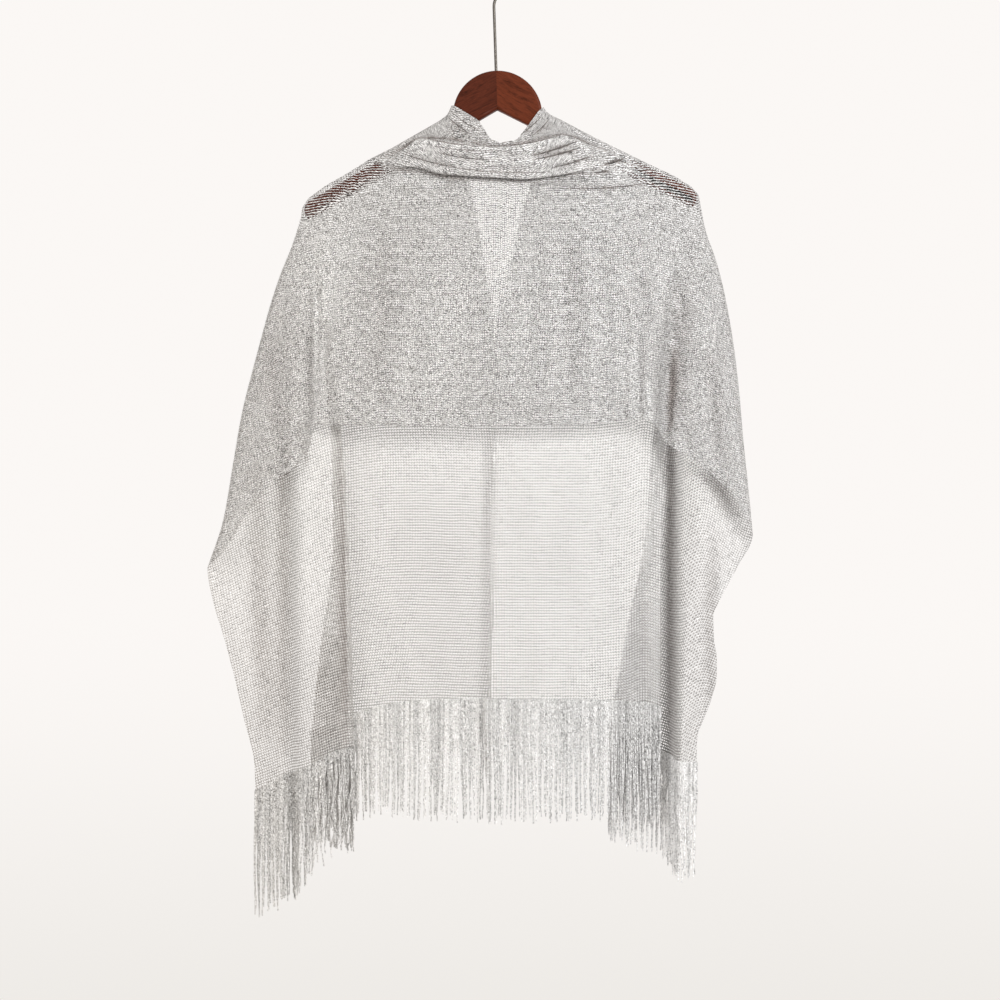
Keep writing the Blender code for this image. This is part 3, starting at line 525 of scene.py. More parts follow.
# Where the drawn points of a section lie on the arm, before any pleat.
FAR_SHARES = np.array(
    [0.0, 0.03, 0.18, 0.38, 0.60]
    + list(np.linspace(0.66, 0.84, 11))
    + list(np.linspace(0.858, 0.965, SIDE_STEPS))
    + [0.98, 0.99, 0.997, 1.0]
)
# Columns of the fine mesh between one drawn point of a section and the next.
FAR_PARTS = (3, 14, 16, 14, 10, 2, 2, 2, 2, 4, 4, 2, 2, 2, 2) + (5,) * 7 + (2,) * 4
LOW_ROWS = 46  # rows below the corner where the near lower edge meets the rim
TOP_LEVEL, LOW_LEVEL, LEVEL_STEP = -168.0, -941.0, 2.5  # where sections are drawn
ROOT_LEVEL = -860  # the level whose section spaces the fringe
MEET_DOWN = (0, 30)  # how far below the top edge the columns take their own places


def far_section(levels, outline, z, sign):
    """Drawn points of one end's section at a level, from the free edge at the middle
    out to the rim. sign is -1 on the left and 1 on the right."""
    at = dict(zip(Level._fields[1:], [float(track(z)) for track in levels]))
    rim_x = float(outline(z))
    turn, fold = at["turn"], at["fold"]
    ya, yb, yc = at["flat_y"], at["mid_y"], at["side_y"]
    over = sign * (turn - fold)
    ra = min(abs(yb - ya) / 2, over / 4)
    rb = min(abs(yc - yb) / 2, over / 4)
    first, second = turn - sign * ra, fold + sign * rb
    sharp = min(1.0, over / FOLD_FULL)
    slant = sign * STEP_W * (1 - sharp)
    flat = first - slant - at["edge"]
    pts = [(at["edge"] + flat * s, ya) for s in FLAT_STEPS]
    plies = [(first + sign * ra * sin(t), ya + (yb - ya) * (1 - cos(t)) / 2) for t in TURN]
    plies.append(((first + second) / 2, yb))
    plies += [(second - sign * rb * sin(t), yb + (yc - yb) * (1 - cos(t)) / 2) for t in TURN]
    for k, (x, y) in enumerate(plies):
        share = (k + 0.5) / len(plies)
        even = ya + (yc - ya) * share
        pts.append((x + slant * (2 * share - 1), even + (y - even) * sharp))
    steps = [0.0, 1.0, 2.0, 3.0]
    sx = curve(steps, [second + slant, at["ridge"], at["hollow"], rim_x - sign * RIM_R])
    sy = curve(steps, [yc, at["ridge_y"], at["hollow_y"], at["end_y"]])
    for k in range(1, SIDE_STEPS + 1):
        u = 3.0 * k / SIDE_STEPS
        pts.append((float(sx(u)), float(sy(u))))
    rim, end_y = at["rim_y"], at["end_y"]
    for d in WRAP_STEPS[-2::-1]:
        pts.append((rim_x - sign * d, rim + (end_y - rim) * wrap(d, RIM_R)))
    out = []
    for share, (x, y) in zip(FAR_SHARES, pts):
        plain = at["edge"] + (rim_x - at["edge"]) * share
        py = rim + (ya - rim) * wrap(abs(rim_x - plain), ARM_R)
        out.append((plain + (x - plain) * at["folded"], py + (y - py) * at["folded"]))
    return out


def far_grid(levels, outline, roots, sign, near):
    """Fine grid of one end, its top row and rim taken from the near stretch."""
    tracks = columns_of(levels, "z", *Level._fields[1:])
    heights = np.arange(TOP_LEVEL, LOW_LEVEL, -LEVEL_STEP)
    drawn = np.array([far_section(tracks, outline, z, sign) for z in heights])
    fine = finer(FAR_PARTS)
    sections = between(drawn.transpose(1, 0, 2), fine)
    low = between(np.array(far_section(tracks, outline, ROOT_LEVEL, sign)), fine)
    run = np.concatenate([[0], np.cumsum(np.linalg.norm(np.diff(low, axis=0), axis=1))])
    (root_z,) = columns_of(roots, "share", "z")
    ends = root_z(run / run[-1])
    rows, count = len(near), len(fine)
    top = near[0, count - 1 :: -1] if sign < 0 else near[0, -count:]
    rim = near[:, 0] if sign < 0 else near[:, -1]
    fade = 1 - ease(8, ROLL_ROWS, np.arange(rows))
    down = np.arange(1, LOW_ROWS + 1) / LOW_ROWS
    grid = np.empty((rows + LOW_ROWS, count, 3))
    for j in range(count):
        start = top[j, 2]
        z = rim[:, 2] + (start - rim[0, 2]) * fade
        z = np.concatenate([z, z[-1] + (ends[j] - z[-1]) * down])
        x = np.interp(-z, -heights, sections[j, :, 0])
        y = np.interp(-z, -heights, sections[j, :, 1])
        grid[:, j, 0] = top[j, 0] + (x - top[j, 0]) * ease(*MEET_DOWN, start - z)
        grid[:, j, 1] = y * wrap(start - z, ARM_R)
        grid[:, j, 2] = z
    grid[0], grid[:rows, -1] = top, rim
    return grid, run


# ---------------------------------------------------------------- joined cloth

# Painted shade of the cloth by the roll: half width of the shade and its depth above it
# (and all over the neck), on its face so far below its top (painted light there, being
# below 0), and below it.
ABOVE_W, ABOVE_DARK, NECK_DARK = 2.8, 1.3, 0.15
FACE_DROP, FACE_W, FACE_DARK = 5, 4.0, -0.35
BELOW_W, BELOW_DARK = 3.5, 0.6
COLLAR_SOFT = 2.5  # half the height over which the drawn-together knit ends
# Painted light and shade of the yarn (below 1 painted shade, above 1 painted light)
# where the cloth hangs in front, at its sleeves, on the arms, in the collar, and in
# the ends behind, flat and pleated.
NEAR_PAINTED_LIGHT, SLEEVE_PAINTED_LIGHT, ARM_PAINTED_LIGHT, COLLAR_PAINTED_LIGHT = 0.87, 0.87, 1.08, 0.915
FAR_PAINTED_LIGHT, SIDE_PAINTED_LIGHT = 1.18, 1.09
EDGE_TONE = 0.92  # how much darker the yarn is along the self edges, as a share
MIDDLE_TONE = 0.6  # and where the left end stops at the middle
LOW_PAINTED_SHADE = (0.84, 0.93)  # painted shade towards the left and the right lower edge, as a share
SLEEVES_FROM = (125, 160)  # how far out the sleeves' painted shade sets in
ARMS_DOWN = (0, 60)  # and how far down from the top edge the arms' painted light ends
FLAT_DOWN, SIDE_DOWN = (480, 800), (680, 900)  # heights over which that painted shade towards the lower edges sets in
DARKEST = 0.5  # of the light, what a crease takes away
EDGE_BUNCH = 0.25  # how closely the self edges are knitted
ARM_OPEN = 0.36  # how far the knit opens where it is stretched over the arms
RIGHT_OPEN = 0.85  # share of that on the right arm
OPEN_LEFT, OPEN_RIGHT = (80, 120), (110, 220)  # how far out it sets in on each arm
OPEN_DOWN = (16, 30)  # and how far down it ends
ROW_STRETCH = 0.1  # share by which the rows are stretched there
STRETCH_FROM, STRETCH_DOWN = (80, 130), 30  # how far out that sets in, and how far down
NEAR_WAVE, FAR_WAVE = 0.8, 0.9  # size of the small waves in the hanging knit
WAVE_DOWN = (300, 420)  # heights over which they set in
PRESS_FROM = (LAY + 0.5, LAY + 4)  # depths between which creases begin to press in
ROWS_NEAR, ROWS_FAR = -520, -830  # levels that a row of the knit starts from


def stole_grids():
    """Fine grids (millimetres) of the near stretch and both ends."""
    share = between(FAR_SHARES, finer(FAR_PARTS))
    on_left = NECK_LEFT + (TIP_LEFT - NECK_LEFT) * share[::-1]
    on_right = NECK_RIGHT + (TIP_RIGHT - NECK_RIGHT) * share
    neck = np.linspace(NECK_LEFT, NECK_RIGHT, NECK_COLUMNS + 1)[1:-1]
    near = near_grid(np.concatenate([on_left, neck, on_right]))
    left, left_run = far_grid(LEFT_LEVELS, left_x, LEFT_ROOTS, -1, near)
    right, right_run = far_grid(RIGHT_LEVELS, right_x, RIGHT_ROOTS, 1, near)
    return near, left, right, left_run, right_run


def join_grids(near, left, right):
    """Point numbers of each grid, shared where the stretches run into each other."""
    rows, cols = near.shape[:2]
    near_id = np.arange(rows * cols).reshape(rows, cols)
    count = rows * cols
    numbers = [near_id]
    for side, grid in ((-1, left), (1, right)):
        wide = grid.shape[1]
        own = np.full(grid.shape[:2], -1)
        own[0] = near_id[0, wide - 1 :: -1] if side < 0 else near_id[0, -wide:]
        own[:rows, -1] = near_id[:, 0] if side < 0 else near_id[:, -1]
        fresh = own < 0
        own[fresh] = count + np.arange(fresh.sum())
        count += fresh.sum()
        numbers.append(own)
    return numbers, count


def quads_of(number, flip=False):
    """The corners of each face of a grid of point numbers."""
    a, b = number[:-1, :-1], number[1:, :-1]
    c, d = number[1:, 1:], number[:-1, 1:]
    order = (a, d, c, b) if flip else (a, b, c, d)
    return np.stack([k.ravel() for k in order], axis=1)


def press(grid, creases):
    """Press creases into a grid. Returns the painted shade that each gives its points."""
    x, z = grid[..., 0].copy(), grid[..., 2].copy()
    free = ease(*PRESS_FROM, np.abs(grid[..., 1]))  # only where it clears the hanger
    dark = np.zeros(x.shape)
    for c in creases:
        way = np.array([c.x1 - c.x0, c.z1 - c.z0], float)
        length = np.linalg.norm(way)
        way /= length
        along = ((x - c.x0) * way[0] + (z - c.z0) * way[1]) / length
        off = (z - c.z0) * way[0] - (x - c.x0) * way[1]
        off = off + c.sag * 4 * along * (1 - along)
        within = (along > 0) & (along < 1)
        amount = np.sin(pi * np.clip(along, 0, 1)) ** 0.5 * within
        amount = amount * np.exp(-((off / c.width) ** 2))
        grid[..., 1] += c.depth * amount * free
        dark += c.dark * amount
    return dark


def fold_lines(grid):
    """Painted shade of the near stretch just above the roll and just below it, and painted
    light on the roll's face.
    """
    columns = grid[0, :, 0]
    z = grid[..., 2]
    there = roll_bulge(columns)
    above = z - roll_top(columns)
    below = roll_bottom(columns) - z
    dark = np.zeros(z.shape)
    neck, panel = slice(0, NECK_ROWS), slice(ROLL_ROWS - 2, None)
    face = above[FRONT_ROWS] + FACE_DROP
    dark[neck] = (np.exp(-((above[neck] / ABOVE_W) ** 2)) * ABOVE_DARK + NECK_DARK) * there
    dark[FRONT_ROWS] = np.exp(-((face / FACE_W) ** 2)) * FACE_DARK * there
    dark[panel] = np.exp(-((below[panel] / BELOW_W) ** 2)) * BELOW_DARK * there
    return dark


def gathered(grid):
    """How far the collar draws the knit together at each point, from 0 to 1."""
    x, z = grid[..., 0], grid[..., 2]
    (edge,) = columns_of(COLLAR_EDGE, "x", "z")
    a, b, c, d = COLLAR_FADE
    inside = ease(-COLLAR_SOFT, COLLAR_SOFT, z - edge(x))
    return inside * ease(a, b, x) * (1 - ease(c, d, x))


def waves(grid, size, seed):
    """Small uneven waves that the hanging knit keeps, in millimetres."""
    x, z = grid[..., 0], grid[..., 2]
    wave = np.zeros(x.shape)
    for k in range(7):
        pitch = 31.0 + 23.0 * ((seed * 0.37 + k * 0.618) % 1)
        lean = 0.35 * sin(2.1 * k + seed)
        wave = wave + sin(1.3 * k + seed) * np.sin((x + lean * z) * 2 * pi / pitch + 5 * k)
    return size * (wave / 3) * ease(*WAVE_DOWN, -z)


def arc(grid, axis):
    """Length of the cloth from the first line to each other one."""
    step = np.linalg.norm(np.diff(grid, axis=axis), axis=2)
    zero = np.zeros_like(np.take(step, [0], axis=axis))
    return np.concatenate([zero, np.cumsum(step, axis=axis)], axis=axis)


def knit_place(grid, level, rises, stretch=0.0):
    """Where each point lies on the knit, in metres: along its rows, and up from the
    row that starts at a level. The rows rise and fall across the grid as stated, and
    over the arms its first rows are stretched by a share."""
    along, down = arc(grid, 1), arc(grid, 0)
    along = along - along[:, [grid.shape[1] // 2]]
    start = []
    for j, low in enumerate(grid[-1, :, 2]):
        rows = slice(-9, None) if low > level else slice(ROLL_ROWS, None)
        start.append(float(np.interp(-level, -grid[rows, j, 2], down[rows, j])))
    up = np.array(start) - down - curve(*zip(*rises))(grid[..., 0])
    arms = ease(*STRETCH_FROM, np.abs(grid[0, :, 0]))
    up = up - stretch * np.clip(STRETCH_DOWN - down, 0, STRETCH_DOWN) * arms
    return np.stack([along, up], axis=2) * MM


def linked(name, data):
    """A new object for the data, in the scene."""
    obj = bpy.data.objects.new(name, data)
    bpy.context.scene.collection.objects.link(obj)
    return obj


def mesh_object(name, points, faces):
    """A smooth object at the origin from points in metres."""
    mesh = bpy.data.meshes.new(name)
    mesh.from_pydata([tuple(p) for p in points], [], [tuple(map(int, f)) for f in faces])
    mesh.update()
    mesh.polygons.foreach_set("use_smooth", [True] * len(mesh.polygons))
    return linked(name, mesh)


def store(mesh, **layers):
    """Keep values of the mesh's points in attributes."""
    for name, values in layers.items():
        mesh.attributes.new(name, "FLOAT", "POINT").data.foreach_set("value", values)


def wave_and_crease(near, left, right):
    """Give the three grids their small waves and their creases. Returns the painted
    shade that these give the points of each."""
    near[..., 1] += waves(near, NEAR_WAVE, 1)
    dark = [fold_lines(near) + press(near, CREASES)]
    for grid, seed, creases in ((left, 2, LEFT_CREASES), (right, 3, RIGHT_CREASES)):
        grid[1:, :-1, 1] += waves(grid, FAR_WAVE, seed)[1:, :-1]
        pleats = np.zeros(grid.shape[:2])
        pleats[:, PLEAT_COLUMN:] = press(grid[:, PLEAT_COLUMN:].copy(), creases)
        dark.append(pleats)
    return dark


def painted_light_of(near, left, right):
    """Painted light and shade of the yarn at the points of each grid, outside the collar."""
    sleeve = ease(*SLEEVES_FROM, np.abs(near[0, :, 0]))
    low = ease(*ARMS_DOWN, near[0, :, 2] - near[..., 2])
    hung = NEAR_PAINTED_LIGHT + (SLEEVE_PAINTED_LIGHT - NEAR_PAINTED_LIGHT) * sleeve
    painted_lights = [ARM_PAINTED_LIGHT + (hung - ARM_PAINTED_LIGHT) * low]
    outer = ease(PLEAT_COLUMN - 2, PLEAT_COLUMN + 6, np.arange(left.shape[1]))
    for grid, share in zip((left, right), LOW_PAINTED_SHADE):
        flat = FAR_PAINTED_LIGHT * (1 - (1 - share) * ease(*FLAT_DOWN, -grid[..., 2]))
        side = SIDE_PAINTED_LIGHT * (1 - (1 - share) * ease(*SIDE_DOWN, -grid[..., 2]))
        painted_lights.append(flat + (side - flat) * outer)
    return painted_lights


def stretched(near):
    """How far the arms stretch the near stretch at each point, from 0 to 1."""
    x, z = near[..., 0], near[..., 2]
    over_arm = np.maximum(ease(*OPEN_LEFT, -x), RIGHT_OPEN * ease(*OPEN_RIGHT, x))
    return (1 - ease(*OPEN_DOWN, near[0, :, 2] - z)) * over_arm


def make_stole():
    """The cloth as one thin sheet, with the rows of its knit in a UV map, and how far
    it is bunched and its painted light and shade in attributes. Also gives each end's
    lower edge."""
    near, left, right, left_run, right_run = stole_grids()
    grids = (near, left, right)
    dark = wave_and_crease(*grids)
    numbers, count = join_grids(*grids)
    points = np.zeros((count, 3))
    bunch, shade, front = np.zeros(count), np.zeros(count), np.zeros(count)
    # The near stretch comes last, so that the points it shares are its own.
    for grid, number, tone, darker in reversed(
        list(zip(grids, numbers, painted_light_of(*grids), dark))
    ):
        points[number] = grid
        bunch[number] = np.maximum(gathered(grid), np.clip(darker, 0, 1))
        # lit is the yarn's painted light and shade, that of the collar eased in where it is
        # gathered; creases then add painted shade.
        lit = tone + (COLLAR_PAINTED_LIGHT - tone) * gathered(grid)
        shade[number] = lit * (1 - DARKEST * np.clip(darker, -1, 1.5))
    bunch[numbers[0]] -= ARM_OPEN * stretched(near) * (1 - bunch[numbers[0]])
    edge = np.concatenate([numbers[0][-1], numbers[1][:, 0], numbers[2][:, 0]])
    bunch[edge] = np.maximum(bunch[edge], EDGE_BUNCH)
    shade[edge] *= EDGE_TONE
    shade[numbers[1][:, 0]] *= MIDDLE_TONE
    front[numbers[0]] = 1.0
    places = (
        knit_place(near, ROWS_NEAR, NEAR_RISE, ROW_STRETCH),
        knit_place(left, ROWS_FAR, LEFT_RISE),
        knit_place(right, ROWS_FAR, RIGHT_RISE),
    )
    faces, corners = [], []
    for place, number, flip in zip(places, numbers, (False, False, True)):
        own = np.arange(number.size).reshape(number.shape)
        faces.append(quads_of(number, flip))
        corners.append(place.reshape(-1, 2)[quads_of(own, flip).ravel()])
    stole = mesh_object("stole", points * MM, np.concatenate(faces))
    knit = stole.data.uv_layers.new(name="knit")
    knit.data.foreach_set("uv", np.concatenate(corners).ravel())
    store(stole.data, bunch=bunch, shade=shade, front=front)
    return stole, {"left": (left[-1], left_run), "right": (right[-1], right_run)}


# ---------------------------------------------------------------- node helpers


class Tree:
    """A node tree being laid out from left to right."""

    def __init__(self, tree):
        self.tree = tree
        self.made = 0

    def node(self, kind, put=None, **values):
        """A node with its settings, and its inputs by name or number under 'put'."""
        node = self.tree.nodes.new(kind)
        node.location = (180 * (self.made % 12), -240 * (self.made // 12))
        self.made += 1
        for name, value in values.items():
            setattr(node, name, value)
        self.fill(node, put or {})
        return node

    def fill(self, node, put):
        """Feed a node's inputs by name or number."""
        for name, value in put.items():
            self.feed(node.inputs[name], value)

    def feed(self, socket, value):
        """Link a node or an output to a socket, or set the socket's constant."""
        if isinstance(value, bpy.types.NodeSocket):
            self.tree.links.new(value, socket)
        elif isinstance(value, bpy.types.Node):
            self.tree.links.new(value.outputs[0], socket)
        else:
            socket.default_value = value

    def math(self, operation, *values):
        put = dict(enumerate(values))
        return self.node("ShaderNodeMath", put, operation=operation).outputs[0]

    def product(self, first, *values):
        """The values multiplied one after the other."""
        for value in values:
            first = self.math("MULTIPLY", first, value)
        return first

    def vector(self, operation, *values):
        node = self.node("ShaderNodeVectorMath", dict(enumerate(values)), operation=operation)
        return node.outputs["Value" if operation in ("LENGTH", "DOT_PRODUCT") else "Vector"]

    def scale(self, vector, amount):
        put = {0: vector, "Scale": amount}
        return self.node("ShaderNodeVectorMath", put, operation="SCALE").outputs[0]

    def parts(self, vector):
        """The three outputs of a vector taken apart."""
        return self.node("ShaderNodeSeparateXYZ", {0: vector}).outputs

    def joined(self, x, y=0.0, z=0.0):
        return self.node("ShaderNodeCombineXYZ", {0: x, 1: y, 2: z}).outputs[0]

    def span(self, value, low, high, to_low, to_high, smooth=False):
        """The value brought from one range to another, and kept in it."""
        put = {"Value": value, "From Min": low, "From Max": high}
        put.update({"To Min": to_low, "To Max": to_high})
        kind = "SMOOTHSTEP" if smooth else "LINEAR"
        return self.node("ShaderNodeMapRange", put, interpolation_type=kind).outputs[0]

    def mix(self, share, first, second, blend="MIX"):
        put = {0: share, 6: first, 7: second}
        node = self.node("ShaderNodeMix", put, data_type="RGBA", blend_type=blend)
        return node.outputs[2]

    def times(self, first, second):
        """Two colours multiplied."""
        return self.mix(1.0, first, second, "MULTIPLY")

    def ramp(self, value, *stops):
        node = self.node("ShaderNodeValToRGB", {"Fac": value})
        points = node.color_ramp.elements
        while len(points) < len(stops):
            points.new(0.5)
        for point, (place, colour) in zip(points, stops):
            point.position, point.color = place, (*colour, 1)
        return node.outputs["Color"]

    def place(self):
        """Where the shaded point lies on its object."""
        return self.node("ShaderNodeTexCoord").outputs["Object"]

    def attribute(self, name):
        return self.node("ShaderNodeAttribute", attribute_name=name).outputs["Fac"]

    def noise(self, at, scale, detail=0.0, output="Fac", **more):
        put = {"Vector": at, "Scale": scale, "Detail": detail, **more}
        return self.node("ShaderNodeTexNoise", put).outputs[output]

    def drift(self, at, scale, *size):
        """Smooth noise about zero, of a size along each axis."""
        noise = self.noise(at, scale, 1.0, "Color")
        return self.vector("MULTIPLY", self.vector("SUBTRACT", noise, (0.5, 0.5, 0.5)), size)

    def white(self, dimensions, output="Value", **put):
        """A random value for each different input."""
        node = self.node("ShaderNodeTexWhiteNoise", put, noise_dimensions=dimensions)
        return node.outputs[output]


def new_material(name):
    """A material with the tree to lay it out in and its main shader."""
    material = bpy.data.materials.new(name)
    material.use_nodes = True
    tree = Tree(material.node_tree)
    bsdf = material.node_tree.nodes["Principled BSDF"]
    return material, tree, bsdf


# ---------------------------------------------------------------- materials

WHITE = (1, 1, 1, 1)
WARM = (1, 0.975, 0.94, 1)  # tint of the light towards the left
WARM_FROM, WARM_TO = 0.1, -0.28  # X over which it sets in, in metres
PAINTED_SHADE_TINT = (1, 0.88, 0.82, 1)  # brownish tint of the painted shade where it is deep in the folds
YARN_METAL = 0.15
STRAY, STRAY_SCALE = 0.0016, 34.0  # how far the stitches stray from their grid, in metres
KNIT_FLECK = (0.0013, 0.00115, 1.0)  # size of the bright and dark flecks of the knit
YARN_FLECK = (0.0011, 0.0016, 0.0013)  # and of the fringe, in metres
NEAR_FINER = 0.2  # how much finer the knit in front is, as a share
NEAR_WIDER = 0.03  # how much wider its courses and narrower its links are
CLOSING = 0.36  # how far bunching closes the holes, of a stitch
UNEVEN = 0.06  # how far the yarn's width wanders, of a stitch
PINCH_SHADE = 0.38  # how light the painted shade of the thin pinches leaves the yarn
PINCH_SWELL, PINCH_TAPER = 2.2, 0.4  # how they widen, and thin out to their ends
GRAIN = (7, 60, 60)  # how often the wood's grain changes along and across the arm
GRAIN_DEEP, GRAIN_LIGHT = 0.4, 1.4  # its dark and light bands, as shares of the stain
GRAIN_LAST, PORE_DARK = 0.45, 0.35  # its last band, of the light, and pores, of the dark
WOOD_BUMP, KNIT_BUMP = (0.12, 0.0006), (0.4, 0.0005)  # strength and depth, in metres


def glitter(t, bsdf, fleck, settings, shade):
    """Colour and gloss of metallic yarn from a random value for each fleck, its
    brightest flecks painted white glints, with the painted light and shade of the fold
    that it lies in, tinted brown where that shade is deep."""
    dark, pale = settings.shade_colour, settings.yarn_colour
    middle = [0.4 * a + 0.6 * b for a, b in zip(dark, pale)]
    # Above 0.72 the flecks turn white: painted glints of the metal yarn.
    colour = t.ramp(
        fleck, (0.0, dark), (0.1, dark), (0.28, middle), (0.46, pale), (0.72, pale),
        (0.84, WHITE[:3]),
    )
    # depth is the painted light and shade, tinted brown where the shade is deep.
    grey = t.node("ShaderNodeCombineColor", {0: shade, 1: shade, 2: shade})
    depth = t.times(grey, t.mix(t.span(shade, 0.3, 0.75, 0.0, 1.0), PAINTED_SHADE_TINT, WHITE))
    warm = t.span(t.parts(t.place())[0], WARM_TO, WARM_FROM, 1.0, 0.0)
    t.fill(bsdf, {
        "Base Color": t.times(t.times(colour, t.mix(warm, WHITE, WARM)), depth),
        "Roughness": t.span(fleck, 0.2, 0.9, 0.8, 0.5),
        "Metallic": YARN_METAL,
    })


def knit_material(settings):
    """Openwork knit of metallic yarn: the holes between its courses are clear, and
    close up where the cloth is bunched. In front it is a little finer, and its rows
    are shifted by chance from column to column where nothing stretches them."""
    material, t, bsdf = new_material("silver_knit")
    place = t.node("ShaderNodeUVMap", uv_map="knit").outputs[0]
    near, bunch = t.math("GREATER_THAN", t.attribute("front"), 0.5), t.attribute("bunch")
    drawn = t.vector("ADD", place, t.drift(place, STRAY_SCALE, *[STRAY] * 3))
    drawn = t.scale(drawn, t.math("MULTIPLY_ADD", near, NEAR_FINER, 1.0))
    size = (settings.stitch_length, settings.row_height, 1.0)
    across, height = t.parts(t.vector("DIVIDE", drawn, size))[:2]
    column = t.math("FLOOR", across)
    loose = t.math("MULTIPLY", near, t.span(bunch, -0.3, -0.05, 0.0, 0.6))
    height = t.math("MULTIPLY_ADD", t.white("1D", W=column), loose, height)
    row = t.math("ROUND", height)
    under = t.math("SUBTRACT", height, row)
    beside = t.math("SUBTRACT", across, t.math("ROUND", across))
    uneven = t.span(t.noise(place, 420.0), 0.3, 0.7, -UNEVEN, UNEVEN)
    closed = t.math("MULTIPLY_ADD", bunch, CLOSING, uneven)
    high = t.math("ADD", closed, settings.course_width)
    wide = t.math("ADD", closed, settings.wale_width)
    high = t.math("MULTIPLY_ADD", near, NEAR_WIDER, high)
    wide = t.math("MULTIPLY_ADD", near, -NEAR_WIDER, wide)
    course = t.math("LESS_THAN", t.math("ABSOLUTE", under), high)
    wale = t.math("LESS_THAN", t.math("PINGPONG", across, 0.5), wide)
    loop = t.white("2D", Vector=t.joined(column, row))
    spot = t.white("2D", Vector=t.vector("FLOOR", t.vector("DIVIDE", drawn, KNIT_FLECK)))
    even = t.math("MULTIPLY_ADD", loop, 0.4, t.math("MULTIPLY_ADD", spot, 0.22, 0.22))
    fleck = t.math("MULTIPLY_ADD", near, t.math("SUBTRACT", spot, even), even)
    # The yarn's colour is multiplied by painted light and shade: the shade attribute, painted
    # shade on the underside of each row and on one side of each link, and painted shade on the
    # thin pinches; the noise varies its tone at random.
    shade = t.product(
        t.attribute("shade"),
        t.span(t.noise(place, 9.0, 2.0), 0.3, 0.7, 0.95, 1.04),
        t.span(under, -0.4, 0.12, 0.42, 1.1),
        t.span(beside, -0.22, 0.02, t.math("MULTIPLY_ADD", near, 0.4, 0.6), 1.0),
        t.span(pinch_lines(t), 0.0, 1.0, 1.0, PINCH_SHADE),
    )
    glitter(t, bsdf, fleck, settings, shade)
    strength, deep = KNIT_BUMP
    put = {"Strength": strength, "Distance": deep, "Height": fleck}
    bump = t.node("ShaderNodeBump", put)
    t.fill(bsdf, {"Normal": bump, "Alpha": t.math("MAXIMUM", course, wale)})
    return material


def pinch_lines(t):
    """1 on the thin pinches of the near stretch, 0 elsewhere."""
    place = t.parts(t.scale(t.place(), 1 / MM))
    found = t.math("LESS_THAN", place[1], -LAY + 1)
    lines = 0.0
    for p in PINCHES:
        length = sqrt((p.x1 - p.x0) ** 2 + (p.z1 - p.z0) ** 2)
        cx, cz = (p.x1 - p.x0) / length, (p.z1 - p.z0) / length
        along = t.math("MULTIPLY_ADD", place[0], cx, -p.x0 * cx - p.z0 * cz)
        along = t.math("DIVIDE", t.math("MULTIPLY_ADD", place[2], cz, along), length)
        off = t.math("MULTIPLY_ADD", place[2], cx, p.x0 * cz - p.z0 * cx)
        off = t.math("MULTIPLY_ADD", place[0], -cz, off)
        swell = t.math("MAXIMUM", t.product(along, t.math("SUBTRACT", 1.0, along)), 0.0)
        off = t.math("ABSOLUTE", t.math("MULTIPLY_ADD", swell, 4 * p.sag, off))
        wide = t.product(t.math("POWER", swell, PINCH_TAPER), PINCH_SWELL * p.width)
        lines = t.math("MAXIMUM", lines, t.math("LESS_THAN", off, wide))
    return t.product(found, lines)


def yarn_material(settings):
    """Metallic yarn of the fringe: twisted strands of small bright loops, with light
    coming through between them."""
    material, t, bsdf = new_material("silver_yarn")
    tone, light = t.attribute("tone"), t.attribute("light")
    fleck_at = t.vector("FLOOR", t.vector("DIVIDE", t.place(), YARN_FLECK))
    chances = t.white("4D", "Color", Vector=fleck_at, W=tone)
    chances = t.node("ShaderNodeSeparateColor", {0: chances}).outputs
    fleck = t.math("MULTIPLY_ADD", chances[0], 0.7, 0.2)
    # The attribute light is painted light and shade along the fringe; tone differs at random
    # from strand to strand.
    glitter(t, bsdf, fleck, settings, t.product(light, t.span(tone, 0.0, 1.0, 0.88, 1.32)))
    t.fill(bsdf, {"Alpha": t.math("GREATER_THAN", chances[1], settings.yarn_gaps)})
    return material


def wood_material(name, deep, light, slope):
    """Stained, lacquered wood whose grain runs along the arm."""
    material, t, bsdf = new_material(name)
    turned = t.node("ShaderNodeMapping", {"Vector": t.place(), "Rotation": (0, slope, 0)})
    turned = t.vector("MULTIPLY", turned, GRAIN)
    bands = t.noise(turned, 3.2, 5.0, Roughness=0.7, Distortion=0.6)
    pores = t.noise(turned, 14.0, 3.0)
    base = t.ramp(bands, (0.3, deep), (0.5, light), (0.72, [GRAIN_LAST * c for c in light]))
    dark = (*[PORE_DARK * c for c in deep], 1)
    strength, depth = WOOD_BUMP
    t.fill(bsdf, {
        "Base Color": t.mix(t.span(pores, 0.5, 0.72, 0.0, 0.5), base, dark),
        "Roughness": t.span(pores, 0.4, 0.7, 0.36, 0.5),
        "Specular IOR Level": 0.06,
        "Coat Weight": 0.04,
        "Coat Roughness": 0.3,
        "Normal": t.node(
            "ShaderNodeBump", {"Strength": strength, "Distance": depth, "Height": pores}
        ),
    })
    return material


def steel_material():
    """Plated hook wire, drawn along its length."""
    material, t, bsdf = new_material("plated_wire")
    marks = t.noise(t.place(), 260.0, 4.0)
    t.fill(bsdf, {
        "Base Color": t.ramp(marks, (0.3, (0.09, 0.08, 0.07)), (0.7, (0.15, 0.137, 0.12))),
        "Roughness": t.span(marks, 0.3, 0.7, 0.34, 0.46),
        "Metallic": 0.9,
    })
    return material


# ---------------------------------------------------------------- hanger


